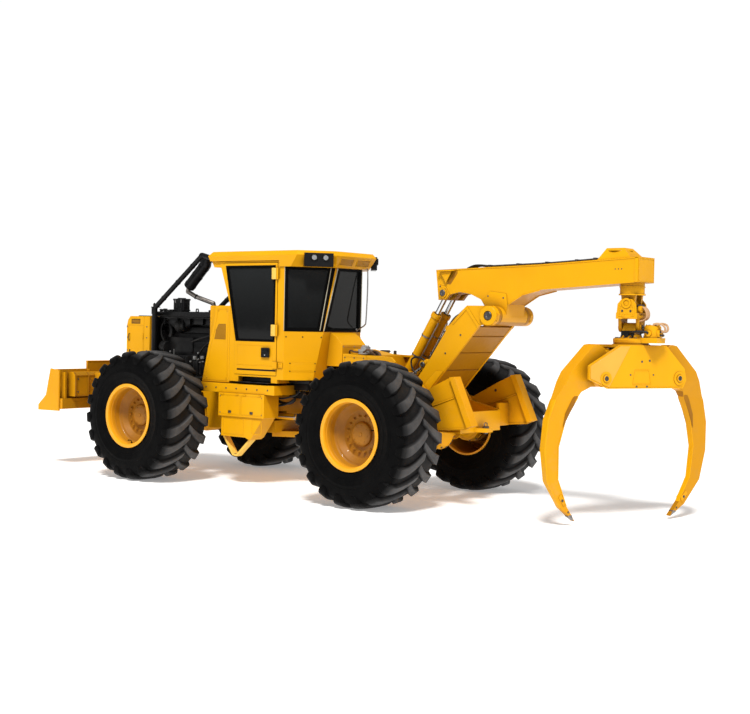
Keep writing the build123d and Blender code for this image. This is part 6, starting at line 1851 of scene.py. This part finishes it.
def tong_parts():
    for nm, s, deg in (("left", 1, 4.0), ("right", -1, -1.5)):
        body = "tong_" + nm

        def sw(y, z, deg=deg):
            a = math.radians(deg) * max(0.0, min(1.0, (1600 - z) / 400.0))
            dy, dz = y - 530.0, z - 1660.0
            return (530 + dy * math.cos(a) - dz * math.sin(a), 1660 + dy * math.sin(a) + dz * math.cos(a))

        def half(z):
            """Half the tong's thickness at a height."""
            return 95.0 if z > 1620 else (50 + 45 * (z - 1440) / 180 if z > 1440 else 30 + 20 * (z + 60) / 1500)

        e = Piece("tong_edge_bands_" + nm, body, YELLOW, "yellow_paint")
        g = Piece("tong_gussets_" + nm, body, YELLOW_SHADE, "yellow_paint")
        w = Piece("tong_wear_points_" + nm, body, YELLOW_WORN, "yellow_paint")
        b = Piece("tong_bolts_" + nm, body, DARK_STEEL)
        k = Piece("tong_tips_" + nm, body, STEEL)
        for p in (e, g, w, b, k):
            p.xf = GRAPPLE_XF
        outer = [(1070, 1400), (1138, 1150), (1150, 820), (1080, 470), (868, 185)]
        inner = [(764, 1440), (895, 1170), (962, 860), (930, 500), (785, 210)]

        def strip(piece, line, off0, off1, wide, thick, bevel=2):
            """A flat bar laid along an edge of the tong: off0..off1 in from the edge across, wide over each face."""
            rings = []
            for (y0, z0) in line:
                yy, zz = sw(y0, z0)
                h = half(zz) + wide
                rings.append([(-h, s * (yy + off0), zz), (h, s * (yy + off0), zz), (h, s * (yy + off1), zz), (-h, s * (yy + off1), zz)])
            piece.loft(rings, bevel, 1)
        strip(e, outer, -14, 2 if s > 0 else 0.5, 4 if s > 0 else -0.2, 0)
        strip(e, inner, -4, 12, 4 if s > 0 else -0.2, 0)
        # wear pad near the tip and its bolt, both faces
        pad = [sw(y0, z0) for y0, z0 in [(822, 200), (905, 300), (880, 338), (806, 262)]]
        for side in (1, -1):
            hh = half(pad[0][1])
            w.prism([(s * y0, z0) for y0, z0 in pad], "x", side * (hh - 1), side * (hh + 8), 2)
            yy, zz = sw(850, 268)
            b.bolt((side * (hh + 7), s * yy, zz), (side, 0, 0), 12, 9)
            yy, zz = sw(752, 140)
            b.cyl((side * (half(zz) - 1), s * yy, zz), (side * (half(zz) + 3), s * yy, zz), 11, 18, 1)
            # bosses round the hinge pin
            e.lathe([(44, 0), (96, 0), (96, 8), (44, 8)], (side * 180, s * 530, 1660), (side, 0, 0), seg=48)
        # hollow behind the knee, closed by a gusset in darker yellow as painted shade
        gl = [(700, 1560), (800, 1400), (872, 1240), (905, 1130), (912, 1060), (880, 1150), (842, 1260), (778, 1390), (690, 1490)]
        pts = [sw(y0, z0) for y0, z0 in gl]
        for side in (1, -1):
            g.prism([(s * y0, z0) for y0, z0 in ([(sw(770, 1540)), (sw(850, 1400)), (sw(915, 1240)), (sw(930, 1080)), (sw(905, 1140)), (sw(840, 1290)), (sw(770, 1420))])], "x",
                    side * 50, side * 54.5, 0.6)
        # point: hardened tip shoe
        y0, z0 = sw(664, 43)
        y1, z1 = sw(745, 112)
        y2, z2 = sw(712, 128)
        k.prism([(s * y0, z0 - 1), (s * (y1 + 4), z1 - 22), (s * (y1 - 8), z1 - 6), (s * (y2 - 12), z2 - 20)], "x", -33, 33, 2)
        for p in (e, g, w, b, k):
            p.done()
    c = Piece("grapple_cylinder_details", "grapple_barrel", YELLOW, "yellow_paint")
    c.xf = GRAPPLE_XF
    c.lathe([(49, 0), (57, 4), (57, 40), (49, 44)], (0, -126, 1925), (0, -1, 0), seg=36)
    c.lathe([(49, 0), (55, 4), (55, 20), (49, 24)], (0, 400, 1925), (0, -1, 0), seg=36)
    for yy in (340, -90):
        c.box(-16, 16, yy - 16, yy + 16, 1968, 1990, 4)
    c.done()
    h = Piece("grapple_cylinder_hoses", "grapple_barrel", HOSE)
    h.xf = GRAPPLE_XF
    h.tube([(0, 340, 1986), (-20, 300, 1992), (-50, 230, 1982), (-66, 140, 1960), (-68, 60, 1950)], 9, 10, 7)
    h.tube([(0, -90, 1986), (-20, -60, 1990), (-46, -20, 1978), (-64, 40, 1958)], 9, 10, 7)
    h.done()


link_parts()
rotator_parts()
head_parts()
tong_parts()

# ------------------------------------------------------------ stage, light, camera
def make_stage():
    bpy.ops.mesh.primitive_plane_add(size=400, location=(0, 0, 0))
    floor = bpy.context.object
    floor.name = "studio_floor"
    m, nt, bs = new_mat("pale_floor")
    co = coords(nt)
    nt.links.new(ramp(nt, noise(nt, co, 0.8, 3, 0.5), [(0.3, (0.93, 0.93, 0.93)), (0.7, (0.95, 0.95, 0.95))]), bs.inputs["Base Color"])
    bs.inputs["Roughness"].default_value = 0.9
    bs.inputs["Specular IOR Level"].default_value = 0.1
    # the paper is lit evenly from behind as well, so shadows on it stay pale
    bs.inputs["Emission Color"].default_value = (1.0, 0.99, 0.99, 1)
    bs.inputs["Emission Strength"].default_value = 0.26
    floor.data.materials.append(m)

    w = bpy.data.worlds.new("studio")
    SC.world = w
    w.use_nodes = True
    wt = w.node_tree
    bg = wt.nodes["Background"]
    lp = wt.nodes.new("ShaderNodeLightPath")
    bg.inputs[0].default_value = (1.0, 1.0, 1.0, 1)
    # plain white paper behind, softer as a light
    wt.links.new(math_node(wt, "MULTIPLY_ADD", lp.outputs["Is Camera Ray"], 0.70, 0.32), bg.inputs[1])

    sun = bpy.data.lights.new("soft_sun", "SUN")
    sun.energy = 3.45
    sun.angle = math.radians(12)
    sun.color = (1.0, 0.985, 0.96)
    so = bpy.data.objects.new("soft_sun", sun)
    SC.collection.objects.link(so)
    # comes over the machine's rear left, high
    d = Vector((0.30, -0.50, -0.81))
    so.rotation_mode = "QUATERNION"
    so.rotation_quaternion = d.to_track_quat("-Z", "Y")


    # a wide soft light behind the machine, for the faces that look back
    ar = bpy.data.lights.new("rear_softbox", "AREA")
    ar.shape = "RECTANGLE"
    ar.size, ar.size_y = 12.0, 6.0
    ar.energy = 110.0
    ar.color = (1.0, 0.99, 0.97)
    ao = bpy.data.objects.new("rear_softbox", ar)
    SC.collection.objects.link(ao)
    ao.location = (-17.0, 3.0, 7.0)
    ao.rotation_mode = "QUATERNION"
    ao.rotation_quaternion = Vector((17.0, -3.0, -5.6)).to_track_quat("-Z", "Y")
    ao.visible_camera = False


def make_camera():
    cam = bpy.data.cameras.new("view")
    cam.sensor_width = 36.0
    cam.sensor_fit = "HORIZONTAL"
    cam.lens = 62.26
    cam.clip_start, cam.clip_end = 0.1, 600
    co = bpy.data.objects.new("view", cam)
    SC.collection.objects.link(co)
    yaw, pitch, roll = math.radians(-52.341), math.radians(-1.530), math.radians(1.157)
    f = Vector((math.cos(pitch) * math.cos(yaw), math.cos(pitch) * math.sin(yaw), math.sin(pitch)))
    r = f.cross(Vector((0, 0, 1))).normalized()
    u = r.cross(f)
    r2 = r * math.cos(roll) + u * math.sin(roll)
    u2 = u * math.cos(roll) - r * math.sin(roll)
    m = Matrix((r2, u2, -f)).transposed().to_4x4()
    m.translation = Vector((-11.0635, 13.5467, 2.2331))
    co.matrix_world = m
    SC.camera = co


make_stage()
make_camera()
SC.view_settings.view_transform = "Standard"
SC.view_settings.look = "None"
